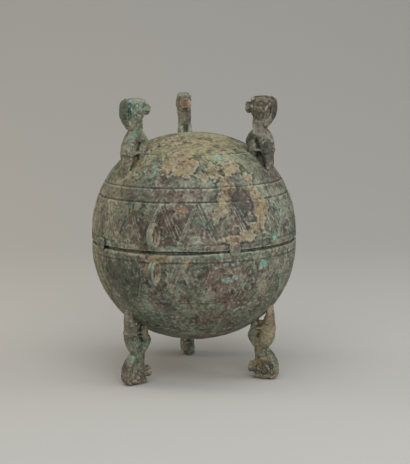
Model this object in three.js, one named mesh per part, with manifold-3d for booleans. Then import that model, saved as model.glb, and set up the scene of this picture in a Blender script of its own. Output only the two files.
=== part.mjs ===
// A lidded bronze dui: a near-spherical bowl and lid that meet edge to edge, three creature-shaped legs on
// each half, and a pair of ring lugs on each half beside the seam.
// Millimetres, +Z up. The origin is on the axis, on the surface that the feet stand on. The front is -Y.

import * as THREE from 'three';
import { mergeVertices } from 'three/addons/utils/BufferGeometryUtils.js';
import Module from 'manifold-3d';

const wasm = await Module();
wasm.setup();

// Body
const BODY_RADIUS = 100;
const LID_RISE = 102;
const BOWL_DEPTH = 99.5;
const SQUARENESS = 2.19;
const WALL = 3;
const RIM_HEIGHT = 137;
const SEAM_GAP = 0.3;
const JOIN_GAP = 0.3;
const BODY_SIDES = 48;
const PROFILE_STEP = 11.5;
const INSIDE_STEP = 15;

// Cast lines that run round the body, as heights above or below the rim
const LID_GROOVES = [7, 45, 57.5, 85];
const BOWL_GROOVES = [9.7, 49, 61.5];
const GROOVE_WIDTH = 1.8;
const GROOVE_DEPTH = 0.9;

// Legs. Outlines are in the upright plane through the axis: [distance from the axis, height from the rim].
const LEG_TOP = 137;
const LID_LEG_LIFT = 1;
const TRUNK_THICKNESS = 13.8;
const TRUNK_CHAMFER = 1.5;
const HEAD_THICKNESS = 15;
const HEAD_CHAMFER = 2;
const SNOUT_THICKNESS = 9.6;
const SNOUT_CHAMFER = 2;
const BELLY_THICKNESS = 4;
const FORELIMB_GAP = 5.2;
const LEAN_START = 70;
const LEAN_FULL = 125;
const MANE_LINE_DEPTH = 0.9;
const MANE_LINE_WIDTH = 1.6;
const EYE_RADIUS = 2;
const EYE_TAPER = 0.6;
const EYE_HEIGHT = 0.7;
const EYE_PLACE = [73.4, 129.2];
const EYE_SIDES = 6;

// Each leg's turn round the axis, and how far its head leans outwards, on the lid and on the bowl
const LEGS = [
  { place: 'right', turn: 0, lidLean: 0, bowlLean: 0.6 },
  { place: 'front_left', turn: -120, lidLean: -2.2, bowlLean: 1.4 },
  { place: 'rear_left', turn: 120, lidLean: 0, bowlLean: 0 },
];

// Ring lugs: an upright ring that stands out from the wall, with its root let into the wall's curve. Seen from
// the side, the ring's far end can be drawn in to a point.
const LUG_TURN = -86;
const LUG_CENTRE_RADIUS = 109.8;
const LUG_REACH = 12;
const LUG_STRAP = 3.6;
const LUG_WIDTH = 5.6;
const LUG_CHAMFER = 0.8;
const LUG_SIDES = 18;
const LID_LUG = { middle: 17.2, halfHeight: 11.6, point: 0 };
const BOWL_LUG = { middle: 17.6, halfHeight: 12.2, point: 0.35 };

// Clip tongues on the lid's rim, which reach down outside the bowl
const TONGUE_FROM_LUG = 41;
const TONGUE_WIDTH = 12.5;
const TONGUE_TOP = 8.5;
const TONGUE_DROP = 4.5;
const TONGUE_PROUD = 3.2;
const TONGUE_CORNER = 0.7;
const TONGUE_CORNER_DROP = 0.8;
const NECK_DEPTH = 30;

const bronze = {
  bowl: new THREE.MeshStandardMaterial({ color: '#5f6455', roughness: 0.75, metalness: 0.35 }),
  lid: new THREE.MeshStandardMaterial({ color: '#6d6456', roughness: 0.78, metalness: 0.35 }),
  leg: new THREE.MeshStandardMaterial({ color: '#5c6258', roughness: 0.72, metalness: 0.4 }),
  ring: new THREE.MeshStandardMaterial({ color: '#6a7263', roughness: 0.72, metalness: 0.4 }),
};

// Solids and meshes

function solidFrom(geometry) {
  const bare = geometry.index ? geometry.toNonIndexed() : geometry.clone();
  bare.deleteAttribute('normal');
  bare.deleteAttribute('uv');
  const merged = mergeVertices(bare, 1e-4);
  const mesh = new wasm.Mesh({
    numProp: 3,
    vertProperties: new Float32Array(merged.attributes.position.array),
    triVerts: new Uint32Array(merged.index.array),
  });
  return new wasm.Manifold(mesh);
}

function geometryFrom(solid) {
  const mesh = solid.getMesh();
  const indexed = new THREE.BufferGeometry();
  indexed.setAttribute('position', new THREE.BufferAttribute(new Float32Array(mesh.vertProperties), 3));
  indexed.setIndex(new THREE.BufferAttribute(new Uint32Array(mesh.triVerts), 1));
  const flat = indexed.toNonIndexed();
  flat.computeVertexNormals();
  return flat;
}

function joinAll(solids) {
  return solids.reduce((sum, solid) => sum.add(solid));
}

const radians = THREE.MathUtils.degToRad;

// Body profile: a quarter of a superellipse, from the rim to the pole

function profilePoint(rise, angle, offset) {
  const power = 2 / SQUARENESS;
  return new THREE.Vector2(
    (BODY_RADIUS + offset) * Math.max(Math.cos(angle), 0) ** power,
    (rise + offset) * Math.sin(angle) ** power,
  );
}

function profileAngle(rise, height) {
  return Math.asin((height / rise) ** (SQUARENESS / 2));
}

function stations(rise, grooves) {
  const edges = [0];
  for (const height of grooves) {
    edges.push(profileAngle(rise, height - GROOVE_WIDTH / 2));
    edges.push(profileAngle(rise, height));
    edges.push(profileAngle(rise, height + GROOVE_WIDTH / 2));
  }
  edges.push(Math.PI / 2);
  const angles = [0];
  for (let i = 1; i < edges.length; i += 1) {
    const span = edges[i] - edges[i - 1];
    const parts = Math.max(1, Math.ceil(span / radians(PROFILE_STEP)));
    for (let part = 1; part <= parts; part += 1) {
      angles.push(edges[i - 1] + (span * part) / parts);
    }
  }
  return angles;
}

function outerWall(rise, grooves, offset, depth) {
  const bottoms = grooves.map((height) => profileAngle(rise, height));
  return stations(rise, grooves).map((angle) => {
    const sunk = bottoms.some((bottom) => Math.abs(bottom - angle) < 1e-9) ? depth : 0;
    return profilePoint(rise, angle, offset - sunk);
  });
}

function innerWall(rise) {
  const count = Math.round(90 / INSIDE_STEP);
  const points = [];
  for (let i = 0; i <= count; i += 1) {
    points.push(profilePoint(rise, (Math.PI / 2) * (1 - i / count), -WALL));
  }
  return points;
}

function onAxis(points, index) {
  points.at(index).x = 0;
  return points;
}

function shellGeometry(rise, grooves) {
  const inside = onAxis(innerWall(rise), 0);
  const outside = onAxis(outerWall(rise, grooves, 0, GROOVE_DEPTH), -1);
  return new THREE.LatheGeometry([...inside, ...outside], BODY_SIDES).rotateX(Math.PI / 2);
}

// The space that the body fills, with the join's gap round it: what is fixed to the wall is cut to it
function bodySpace(rise, grooves) {
  const outside = onAxis(outerWall(rise, grooves, JOIN_GAP, 0), -1);
  return new THREE.LatheGeometry([new THREE.Vector2(0, 0), ...outside], BODY_SIDES).rotateX(Math.PI / 2);
}

// Legs

function smooth(points, steps) {
  const run = new THREE.SplineCurve(points.map(([x, y]) => new THREE.Vector2(x, y)));
  return run.getPoints(steps).map((point) => [point.x, point.y]);
}

// A plate cut to an outline, as thick as the leg, with chamfered edges, upright in the leg's plane
function plate(outline, thickness, chamfer) {
  const shape = new THREE.Shape(outline.map(([x, y]) => new THREE.Vector2(x, y)));
  const geometry = new THREE.ExtrudeGeometry(shape, {
    depth: thickness - 2 * chamfer,
    bevelEnabled: chamfer > 0,
    bevelThickness: chamfer,
    bevelSize: chamfer,
    bevelOffset: -chamfer,
    bevelSegments: 1,
    steps: 1,
  });
  geometry.translate(0, 0, chamfer - thickness / 2);
  return solidFrom(geometry.rotateX(Math.PI / 2));
}

// The trunk stands on the wall on two roots: the haunch outside, and the forelimbs with their pointed elbows
function trunkOutline() {
  const haunch = smooth([[80.2, 62], [80.9, 67], [82.4, 72], [83.4, 78], [84, 86], [83.6, 93.5],
    [80.8, 101.5], [76.8, 107]], 10);
  const insideHead = [[76, 114], [74, 122], [67, 124]];
  const throat = smooth([[64.6, 119], [62.8, 113], [62.3, 108], [63, 103], [61.4, 100]], 5);
  const elbow = [[57.4, 96.6], [56.9, 93.4], [59.2, 89.4], [60.6, 84], [59.6, 78]];
  return [...haunch, ...insideHead, ...throat, ...elbow, [72, 66]];
}

// Two hollows in each flank: one under the belly, and one between the knee and the wall
function flankHollows() {
  const belly = [[68.2, 88], [68, 92.4], [71.2, 94.2], [74.4, 91.8], [73.4, 88], [70.8, 86.8]];
  const knee = [[62.6, 76], [62.8, 84.8], [69, 84.4], [73.4, 82.2], [75.2, 78.4], [75.2, 68]];
  const deep = (TRUNK_THICKNESS + BELLY_THICKNESS) / 2;
  return [belly, knee].flatMap((outline) => [-1, 1].map(
    (side) => plate(outline, TRUNK_THICKNESS, 0).translate([0, side * deep, 0]),
  ));
}

// The space between the two forelimbs, in front of the belly
function forelimbSpace() {
  return plate([[50, 76], [64, 76], [64, 97], [61, 99.4], [50, 99.4]], FORELIMB_GAP, 0);
}

function headOutline() {
  const mane = smooth([[84, 134.6], [86.4, 130.5], [86.4, 125], [85, 119.4], [82, 114.2], [76.8, 107]], 8);
  return [[62.4, 128], [61.8, 132.8], [63, 135.8], [66.6, LEG_TOP], [80.4, LEG_TOP], ...mane, [72.5, 111.5],
    [66.5, 117], [63, 121]];
}

// The muzzle is a blunt knob
function snoutOutline() {
  return [[66, 131.8], [58.2, 131.6], [56.4, 129.4], [55.8, 125.6], [56.4, 122.4], [58.6, 120.6],
    [66, 120.6]];
}

// The line that sets the mane's edge off from the cheek
function maneLine() {
  const half = MANE_LINE_WIDTH / 2;
  const line = smooth([[81, LEG_TOP + 1], [83, 129], [82.6, 122], [77.4, 112.4]], 4);
  const outer = line.map(([x, y]) => [x + half, y]);
  const inner = line.map(([x, y]) => [x - half, y]).reverse();
  return plate([...outer, ...inner], MANE_LINE_DEPTH * 2, 0);
}

function eye(side) {
  const boss = new THREE.CylinderGeometry(EYE_RADIUS * EYE_TAPER, EYE_RADIUS, EYE_HEIGHT * 2, EYE_SIDES);
  if (side < 0) {
    boss.rotateX(Math.PI);
  }
  boss.translate(EYE_PLACE[0], side * (HEAD_THICKNESS / 2), EYE_PLACE[1]);
  return solidFrom(boss);
}

function legSolid() {
  const line = maneLine();
  const side = HEAD_THICKNESS / 2;
  const head = plate(headOutline(), HEAD_THICKNESS, HEAD_CHAMFER)
    .subtract(line.translate([0, side, 0]))
    .subtract(line.translate([0, -side, 0]));
  const trunk = plate(trunkOutline(), TRUNK_THICKNESS, TRUNK_CHAMFER)
    .subtract(joinAll(flankHollows()))
    .subtract(forelimbSpace());
  return joinAll([
    trunk,
    head,
    plate(snoutOutline(), SNOUT_THICKNESS, SNOUT_CHAMFER),
    eye(1),
    eye(-1),
  ]);
}

function leaning(solid, lean) {
  const slope = lean / (LEAN_FULL - LEAN_START);
  return solid.warp((vertex) => {
    vertex[0] += slope * (vertex[2] - LEAN_START);
  });
}

// Ring lugs

function lugSolid({ middle, halfHeight, point }) {
  const ring = (shrink) => {
    const outline = [];
    for (let i = 0; i < LUG_SIDES; i += 1) {
      const angle = (2 * Math.PI * i) / LUG_SIDES;
      const drawnIn = 1 - point * Math.max(Math.sin(angle), 0) ** 2;
      outline.push([
        LUG_CENTRE_RADIUS + (LUG_REACH - shrink) * Math.cos(angle) * drawnIn,
        middle + (halfHeight - shrink) * Math.sin(angle),
      ]);
    }
    return outline;
  };
  return plate(ring(0), LUG_WIDTH, LUG_CHAMFER).subtract(plate(ring(LUG_STRAP), LUG_WIDTH * 2, 0));
}

// Clip tongues

function tongueSolid() {
  const half = TONGUE_WIDTH / 2;
  const corner = half * TONGUE_CORNER;
  const cornerDrop = -TONGUE_DROP * TONGUE_CORNER_DROP;
  const outline = [[-half, TONGUE_TOP], [-half, -1], [-corner, cornerDrop], [0, -TONGUE_DROP],
    [corner, cornerDrop], [half, -1], [half, TONGUE_TOP]];
  const shape = new THREE.Shape(outline.map(([x, y]) => new THREE.Vector2(x, y)));
  const depth = TONGUE_PROUD + WALL / 2;
  const geometry = new THREE.ExtrudeGeometry(shape, { depth, bevelEnabled: false });
  geometry.rotateX(Math.PI / 2).rotateZ(Math.PI / 2);
  geometry.translate(BODY_RADIUS - WALL / 2, 0, 0);
  return solidFrom(geometry);
}

// Everything below the rim plane that a tongue has to stay clear of
function bowlNeck() {
  const radius = BODY_RADIUS + JOIN_GAP;
  const neck = new THREE.CylinderGeometry(radius, radius, NECK_DEPTH, BODY_SIDES);
  return solidFrom(neck.rotateX(Math.PI / 2).translate(0, 0, -NECK_DEPTH / 2));
}

// Assembly

function turned(solid, degrees) {
  return solid.rotate([0, 0, degrees]);
}

function named(name, geometry, material) {
  const mesh = new THREE.Mesh(geometry, material);
  mesh.name = name;
  return mesh;
}

function lidSolid() {
  const neck = bowlNeck();
  const tongues = [LUG_TURN - TONGUE_FROM_LUG, LUG_TURN + TONGUE_FROM_LUG]
    .flatMap((degrees) => [degrees, degrees + 180])
    .map((degrees) => turned(tongueSolid(), degrees).subtract(neck));
  return joinAll([solidFrom(shellGeometry(LID_RISE, LID_GROOVES)), ...tongues]);
}

function half(kind, rise, grooves, lug) {
  const group = new THREE.Group();
  const space = solidFrom(bodySpace(rise, grooves)).translate([0, 0, SEAM_GAP / 2]);
  const shell = kind === 'lid' ? geometryFrom(lidSolid()) : shellGeometry(rise, grooves);
  group.add(named(kind, shell.translate(0, 0, SEAM_GAP / 2), bronze[kind]));
  const lift = kind === 'lid' ? LID_LEG_LIFT : 0;
  for (const { place, turn, lidLean, bowlLean } of LEGS) {
    const leaned = leaning(legSolid(), kind === 'lid' ? lidLean : bowlLean).translate([0, 0, lift]);
    const solid = turned(leaned, kind === 'lid' ? turn : -turn).subtract(space);
    group.add(named(`${kind}_leg_${place}`, geometryFrom(solid), bronze.leg));
  }
  for (const [place, degrees] of [['front', LUG_TURN], ['rear', LUG_TURN + 180]]) {
    const solid = turned(lugSolid(lug), kind === 'lid' ? degrees : -degrees).subtract(space);
    group.add(named(`${kind}_ring_${place}`, geometryFrom(solid), bronze.ring));
  }
  return group;
}

const vessel = new THREE.Group();

const lid = half('lid', LID_RISE, LID_GROOVES, LID_LUG);
lid.position.z = RIM_HEIGHT;
vessel.add(lid);

// The bowl is built rim down like the lid, then turned over about the X axis
const bowl = half('bowl', BOWL_DEPTH, BOWL_GROOVES, BOWL_LUG);
bowl.position.z = RIM_HEIGHT;
bowl.rotation.x = Math.PI;
vessel.add(bowl);

export default vessel;
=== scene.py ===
"""An excavated bronze dui: bowl and lid, six creature-shaped legs and four ring lugs, in a studio view.

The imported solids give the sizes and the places. Lengths inside the functions are millimetres, as the vessel
would be measured, and become metres when a mesh is made.
"""

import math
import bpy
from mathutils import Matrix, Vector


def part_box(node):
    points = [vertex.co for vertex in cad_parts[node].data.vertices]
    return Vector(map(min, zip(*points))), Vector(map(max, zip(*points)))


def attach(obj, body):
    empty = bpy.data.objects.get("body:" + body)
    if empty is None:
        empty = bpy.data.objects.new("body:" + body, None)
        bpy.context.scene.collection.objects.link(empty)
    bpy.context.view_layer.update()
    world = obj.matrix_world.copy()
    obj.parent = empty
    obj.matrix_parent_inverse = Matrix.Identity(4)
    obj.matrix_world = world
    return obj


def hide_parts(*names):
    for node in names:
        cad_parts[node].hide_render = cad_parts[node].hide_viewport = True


bl_info = {
    "name": "Excavated Bronze Dui",
    "version": (1, 0, 0),
    "blender": (4, 5, 0),
    "location": "View3D > Sidebar > Dui",
    "description": "Makes a corroded, lidded bronze dui with its legs and lugs around its solids",
    "category": "Add Mesh",
}

import bpy
import numpy as np
from bpy.props import FloatProperty, FloatVectorProperty, IntProperty, PointerProperty
from mathutils import Matrix, Vector

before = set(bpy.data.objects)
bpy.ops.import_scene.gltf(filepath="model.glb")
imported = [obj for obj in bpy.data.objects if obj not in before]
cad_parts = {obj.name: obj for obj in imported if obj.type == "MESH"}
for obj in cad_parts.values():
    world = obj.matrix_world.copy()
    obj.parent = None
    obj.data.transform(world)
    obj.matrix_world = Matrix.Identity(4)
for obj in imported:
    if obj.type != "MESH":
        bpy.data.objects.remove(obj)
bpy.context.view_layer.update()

MM = 0.001
SEAM_HALF_GAP = 0.15

# Sizes of the vessel, read from the solids, in millimetres
BOWL_LOW, BOWL_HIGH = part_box("bowl")
LID_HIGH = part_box("lid")[1]
BODY_RADIUS = BOWL_HIGH.x / MM
RIM_HEIGHT = BOWL_HIGH.z / MM + SEAM_HALF_GAP
LID_RISE = LID_HIGH.z / MM - RIM_HEIGHT - SEAM_HALF_GAP
BOWL_DEPTH = RIM_HEIGHT - SEAM_HALF_GAP - BOWL_LOW.z / MM
LEG_TOP = RIM_HEIGHT

# The profile of each half is a quarter of a superellipse: 2 would be a plain sphere
SQUARENESS = 2.19

# Cast lines round the body: distances from the rim in millimetres, and the share of their depth that is left
LID_LINES = ((7.0, 0.35), (45.0, 1.0), (57.5, 0.95), (85.0, 0.6))
BOWL_LINES = ((9.7, 0.45), (49.0, 0.35), (61.5, 0.3))

# The cast band's two edges, in millimetres from the rim, and the share of its relief that wear has left
LID_BAND = (8.5, 43.5, 1.0)
BOWL_BAND = (11.0, 47.5, 0.6)

# The legs' turn round the axis in degrees, and how far the lid's and the bowl's lean outwards in millimetres
LEGS = (
    ("right", 0.0, 0.0, 0.6),
    ("front_left", -120.0, -4.2, 0.6),
    ("rear_left", 120.0, 0.0, 0.0),
)
LID_LEG_LIFT = 1.0

# Heights on a leg where its lean starts and is full, in millimetres
LEAN_START = 70.0
LEAN_FULL = 125.0

# The front rings' turn round the axis in degrees, and a ring's distance from the axis in millimetres
LUG_TURN = -86.0
LUG_CENTRE = 109.8

# Each half's ring: middle and half height in millimetres, how far its far end is drawn in and thinned, and
# whether that end is up or down
LUG_SHAPES = {"lid": (17.2, 11.6, 1.0, 0.9, 1.0), "bowl": (-17.6, 12.2, 0.6, 0.55, -1.0)}

# Degrees round the axis from a ring lug to the tongue on each side of it
TONGUE_FROM_LUG = 41.0


def rgb(hexadecimal):
    """An sRGB hex colour as linear red, green, blue and alpha."""
    channels = [int(hexadecimal[i : i + 2], 16) / 255 for i in (1, 3, 5)]
    linear = [c / 12.92 if c <= 0.04045 else ((c + 0.055) / 1.055) ** 2.4 for c in channels]
    return (*linear, 1.0)


def colour_property(name, hexadecimal, description):
    return FloatVectorProperty(
        name=name,
        description=description,
        subtype="COLOR",
        size=4,
        min=0.0,
        max=1.0,
        default=rgb(hexadecimal),
    )


class DuiBodySettings(bpy.types.PropertyGroup):
    wall: FloatProperty(
        name="Wall",
        description="Thickness of the cast wall",
        default=3.0 * MM,
        min=1.5 * MM,
        max=6.0 * MM,
        unit="LENGTH",
    )
    grain: FloatProperty(
        name="Surface step",
        description="Distance between neighbouring points down the outside wall",
        default=0.95 * MM,
        min=0.5 * MM,
        max=5.0 * MM,
        unit="LENGTH",
    )
    line_depth: FloatProperty(
        name="Line depth",
        description="Depth of the lines that run round the body",
        default=0.9 * MM,
        unit="LENGTH",
    )
    line_width: FloatProperty(
        name="Line width",
        description="Width of the lines that run round the body",
        default=1.7 * MM,
        unit="LENGTH",
    )
    band_repeats: IntProperty(
        name="Band repeats",
        description="How many times the triangle and cloud pattern runs round the body",
        default=18,
        min=6,
        max=36,
    )
    band_height: FloatProperty(
        name="Band height",
        description="How far the fine cast lines of the triangle and cloud band stand up",
        default=0.5 * MM,
        unit="LENGTH",
    )
    band_start: FloatProperty(
        name="Band start",
        description="Distance round the body at which the band's first unit starts",
        default=-10.1 * MM,
        unit="LENGTH",
    )
    crust: FloatProperty(
        name="Crust height",
        description="How far the thickest earthy crust stands up from the wall",
        default=1.15 * MM,
        unit="LENGTH",
    )


class DuiLegSettings(bpy.types.PropertyGroup):
    voxel: FloatProperty(
        name="Casting detail",
        description="Size of the smallest form kept when a leg's forms are merged",
        default=0.62 * MM,
        min=0.4 * MM,
        max=2.0 * MM,
        unit="LENGTH",
    )
    corrosion: FloatProperty(
        name="Corrosion",
        description="How far corrosion roughens the legs",
        default=0.35 * MM,
        unit="LENGTH",
    )


class DuiLugSettings(bpy.types.PropertyGroup):
    reach: FloatProperty(
        name="Reach",
        description="How far a ring stands out from its own centre",
        default=11.9 * MM,
        unit="LENGTH",
    )
    ring_width: FloatProperty(
        name="Ring width",
        description="Width of a ring, round the body",
        default=5.6 * MM,
        unit="LENGTH",
    )
    ring_thickness: FloatProperty(
        name="Ring thickness",
        description="Thickness of a ring, from its hole to its outer edge",
        default=3.6 * MM,
        unit="LENGTH",
    )


class DuiPatinaSettings(bpy.types.PropertyGroup):
    olive: colour_property("Olive", "#50513f", "Dark grey-olive corrosion, the commonest colour")
    sage: colour_property("Sage", "#7b826d", "Paler grey-green corrosion mottled over the olive")
    # The pit colour is also laid as painted shade in hollows and in the gap at the seam, and as the front
    # rings' painted shadows
    shadow: colour_property("Pit", "#23211b", "Near-black tarnish that stays in pits and cast lines")
    cuprite: colour_property("Cuprite", "#5c4541", "Purple-brown copper oxide")
    umber: colour_property("Umber", "#74604f", "Warmer brown mixed through the copper oxide")
    malachite: colour_property("Malachite", "#4a7b69", "Green copper carbonate")
    turquoise: colour_property("Turquoise", "#7fae9e", "Pale blue-green chloride spots")
    earth: colour_property("Earth", "#a78c6b", "Buff burial earth set hard in the crust")
    loam: colour_property("Loam", "#8a8262", "Browner and greyer parts of the earth crust")
    silt: colour_property("Silt", "#a9a075", "Thin yellowish-olive film on the crown")
    ochre: colour_property("Ochre", "#9c7152", "Orange iron-stained patches")
    chalk: colour_property("Chalk", "#aaaa98", "Pale mineral bloom")


class DuiStageSettings(bpy.types.PropertyGroup):
    azimuth: FloatProperty(
        name="Azimuth",
        description="Direction of the camera round the vessel, from the front",
        default=math.radians(23.4),
        subtype="ANGLE",
        unit="ROTATION",
    )
    elevation: FloatProperty(
        name="Elevation",
        description="Height of the camera above the horizon",
        default=math.radians(9.0),
        subtype="ANGLE",
        unit="ROTATION",
    )
    distance: FloatProperty(
        name="Distance",
        description="Distance of the camera from the middle of the vessel",
        default=1.231,
        unit="LENGTH",
    )
    floor_colour: colour_property("Floor", "#bfbeb9", "Colour of the plain pale floor and backdrop")


# Numbers and surfaces

# Odd multipliers that scatter the noise's values: one for each axis, one for the seed and one for the last
# mixing
SCATTER_AXES = (73856093, 19349663, 83492791)
SCATTER_SEED = 265443
SCATTER_LAST = 1274126177
OCTAVE_SEED_STEP = 31
NOISE_GAIN = 1.4


def noise(points, size, seed, octaves=1):
    """Smooth noise from about -1 to 1 at points in millimetres, with features of the given size."""
    total = np.zeros(len(points))
    weight, reach = 1.0, 0.0
    for octave in range(octaves):
        total += weight * lattice_noise(points * (2.0**octave / size), seed + OCTAVE_SEED_STEP * octave)
        reach += weight
        weight *= 0.5
    return total / reach


def lattice_noise(points, seed):
    cell = np.floor(points).astype(np.int64)
    part = points - cell
    ease = part**3 * (part * (part * 6 - 15) + 10)
    total = np.zeros(len(points))
    for corner in range(8):
        step = np.array([corner & 1, (corner >> 1) & 1, (corner >> 2) & 1])
        place = cell + step
        mixed = seed * SCATTER_SEED
        for axis, scatter in enumerate(SCATTER_AXES):
            mixed = mixed ^ place[:, axis] * scatter
        mixed = (mixed ^ (mixed >> 13)) * SCATTER_LAST
        # The low 16 bits, as a value from -1 to 1
        value = ((mixed ^ (mixed >> 16)) & 0xFFFF) / 32767.5 - 1.0
        total += value * np.prod(np.where(step, ease, 1.0 - ease), axis=1)
    return total * NOISE_GAIN


def layered_noise(points, layers, base=0.0):
    """A base value with layers of noise on it, each given as its height, feature size, seed and octaves."""
    return sum((height * noise(points, size, seed, octaves) for height, size, seed, octaves in layers), base)


def ramp(value, low, high):
    """0 below low and 1 above high, with a smooth rise between. Low may be the larger."""
    share = np.clip((value - low) / (high - low), 0.0, 1.0)
    return share * share * (3 - 2 * share)


def positions(mesh):
    points = np.empty(len(mesh.vertices) * 3)
    mesh.vertices.foreach_get("co", points)
    return points.reshape(-1, 3) / MM


def set_positions(mesh, points):
    mesh.vertices.foreach_set("co", (points * MM).astype(np.float32).ravel())
    mesh.update()


def normals(mesh):
    directions = np.empty(len(mesh.vertices) * 3)
    mesh.vertex_normals.foreach_get("vector", directions)
    return directions.reshape(-1, 3)


def edge_pairs(mesh):
    pairs = np.empty(len(mesh.edges) * 2, dtype=np.int64)
    mesh.edges.foreach_get("vertices", pairs)
    return pairs.reshape(-1, 2)


def relaxed(values, pairs, passes):
    """The values of each point after it takes its neighbours' average a few times."""
    values = values.reshape(len(values), -1)
    count = len(values)
    ends = np.concatenate([pairs[:, 0], pairs[:, 1]])
    others = np.concatenate([pairs[:, 1], pairs[:, 0]])
    neighbours = np.maximum(np.bincount(ends, minlength=count), 1)
    for _ in range(passes):
        sums = [np.bincount(ends, values[others, k], minlength=count) for k in range(values.shape[1])]
        values = 0.5 * values + 0.5 * np.stack(sums, axis=1) / neighbours[:, None]
    return values


def new_object(name, data):
    piece = bpy.data.objects.new(name, data)
    bpy.context.scene.collection.objects.link(piece)
    return piece


def mesh_from(name, points, faces):
    mesh = bpy.data.meshes.new(name)
    mesh.from_pydata((np.asarray(points) * MM).tolist(), [], faces)
    mesh.validate()
    return mesh


def apply_modifiers(piece):
    """Makes the piece's modifiers part of its mesh, and removes them."""
    bpy.context.view_layer.update()
    graph = bpy.context.evaluated_depsgraph_get()
    result = bpy.data.meshes.new_from_object(piece.evaluated_get(graph), depsgraph=graph)
    piece.modifiers.clear()
    piece.data = result
    result.name = piece.name


def melt(piece, voxel):
    """Merges the piece's overlapping forms into one surface, in voxels of this many millimetres."""
    remesh = piece.modifiers.new("merge", "REMESH")
    remesh.mode = "VOXEL"
    remesh.voxel_size = voxel * MM
    apply_modifiers(piece)


def discard(piece):
    data = piece.data
    bpy.data.objects.remove(piece)
    if isinstance(data, bpy.types.Mesh):
        bpy.data.meshes.remove(data)
    else:
        bpy.data.curves.remove(data)


def finish_piece(piece, nodes, material, marks):
    """Writes the marks of corrosion, tarnish and painted shade, sets the finish, and ties the piece to the
    solids it stands for.
    """
    mesh = piece.data
    for name, values in marks.items():
        attribute = mesh.attributes.get(name) or mesh.attributes.new(name, "FLOAT", "POINT")
        attribute.data.foreach_set("value", np.clip(values, -1.0, 1.0).astype(np.float32))
    mesh.materials.clear()
    mesh.materials.append(material)
    mesh.shade_smooth()
    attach(piece, "root")
    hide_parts(*nodes)


def cavity(mesh, passes, full):
    """How far each point stands above (1) or below (-1) the surface around it. full is that height in mm."""
    points = positions(mesh)
    around = relaxed(points, edge_pairs(mesh), passes)
    height = np.sum((points - around) * normals(mesh), axis=1)
    return np.clip(height / full, -1.0, 1.0)


# Node trees


def add_node(tree, kind, inputs=None, **settings):
    """Adds a node with its settings. An input is a value, or the socket that feeds it."""
    node = tree.nodes.new(kind)
    for name, value in settings.items():
        setattr(node, name, value)
    for key, value in (inputs or {}).items():
        if isinstance(value, bpy.types.NodeSocket):
            tree.links.new(value, node.inputs[key])
        else:
            node.inputs[key].default_value = value
    return node


def new_tree(name, sockets):
    """A Geometry Nodes tree with a geometry in and out, and named inputs for its sizes."""
    tree = bpy.data.node_groups.new(name, "GeometryNodeTree")
    tree.interface.new_socket("Geometry", in_out="INPUT", socket_type="NodeSocketGeometry")
    for label, kind in sockets.items():
        tree.interface.new_socket(label, in_out="INPUT", socket_type=f"NodeSocket{kind}")
    tree.interface.new_socket("Geometry", in_out="OUTPUT", socket_type="NodeSocketGeometry")
    return tree


def run_tree(piece, tree, values):
    """Runs a tree on a piece with the values for its named inputs, and keeps the mesh it makes."""
    modifier = piece.modifiers.new(tree.name, "NODES")
    modifier.node_group = tree
    identifiers = {
        item.name: item.identifier
        for item in tree.interface.items_tree
        if item.item_type == "SOCKET" and item.in_out == "INPUT"
    }
    for name, value in values.items():
        modifier[identifiers[name]] = value
    apply_modifiers(piece)


# The body

PROFILE_SAMPLES = 4001

# Points round the widest part of the outside and of the inside, and the inside's step down the wall in
# millimetres
OUTSIDE_COLUMNS = 640
INSIDE_COLUMNS = 160
INSIDE_STEP = 4.5
FEWEST_COLUMNS = 20
HALVING_SHARE = 0.58

# Heights of the closer rows at the worn rim, in millimetres, and how far past them the even rows start
RIM_ROWS = (0.0, 0.35, 0.7, 1.05, 1.4, 1.8, 2.3)
PAST_RIM_ROWS = 1.15


def profile(angle, radius, rise):
    power = 2 / SQUARENESS
    return radius * np.cos(angle) ** power, rise * np.sin(angle) ** power


def profile_angles(radius, rise, spacing):
    """Profile angles from rim to pole, evenly spaced along the wall."""
    dense = np.linspace(0, math.pi / 2, PROFILE_SAMPLES)
    out, up = profile(dense, radius, rise)
    length = np.concatenate([[0], np.cumsum(np.hypot(np.diff(out), np.diff(up)))])
    count = max(6, round(length[-1] / spacing))
    return np.interp(np.linspace(0, length[-1], count + 1), length, dense)


def wall_normals(points, radius, rise):
    """Outward directions of the profile's surface at points measured from the rim's centre."""
    around = np.hypot(points[:, 0], points[:, 1])
    flat = (around / radius) ** (SQUARENESS - 1) / radius
    tall = np.sign(points[:, 2]) * (np.abs(points[:, 2]) / rise) ** (SQUARENESS - 1) / rise
    safe = np.maximum(around, 1e-6)
    direction = np.stack([flat * points[:, 0] / safe, flat * points[:, 1] / safe, tall], axis=1)
    return direction / np.linalg.norm(direction, axis=1)[:, None]


def wall_depth(points, radius, rise):
    """How far points lie inside the outer wall, in millimetres along the way to the centre."""
    around = np.hypot(points[:, 0], points[:, 1]) / radius
    share = (around**SQUARENESS + (np.abs(points[:, 2]) / rise) ** SQUARENESS) ** (1 / SQUARENESS)
    return (1 - share) * np.linalg.norm(points, axis=1) / np.maximum(share, 1e-6)


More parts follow.
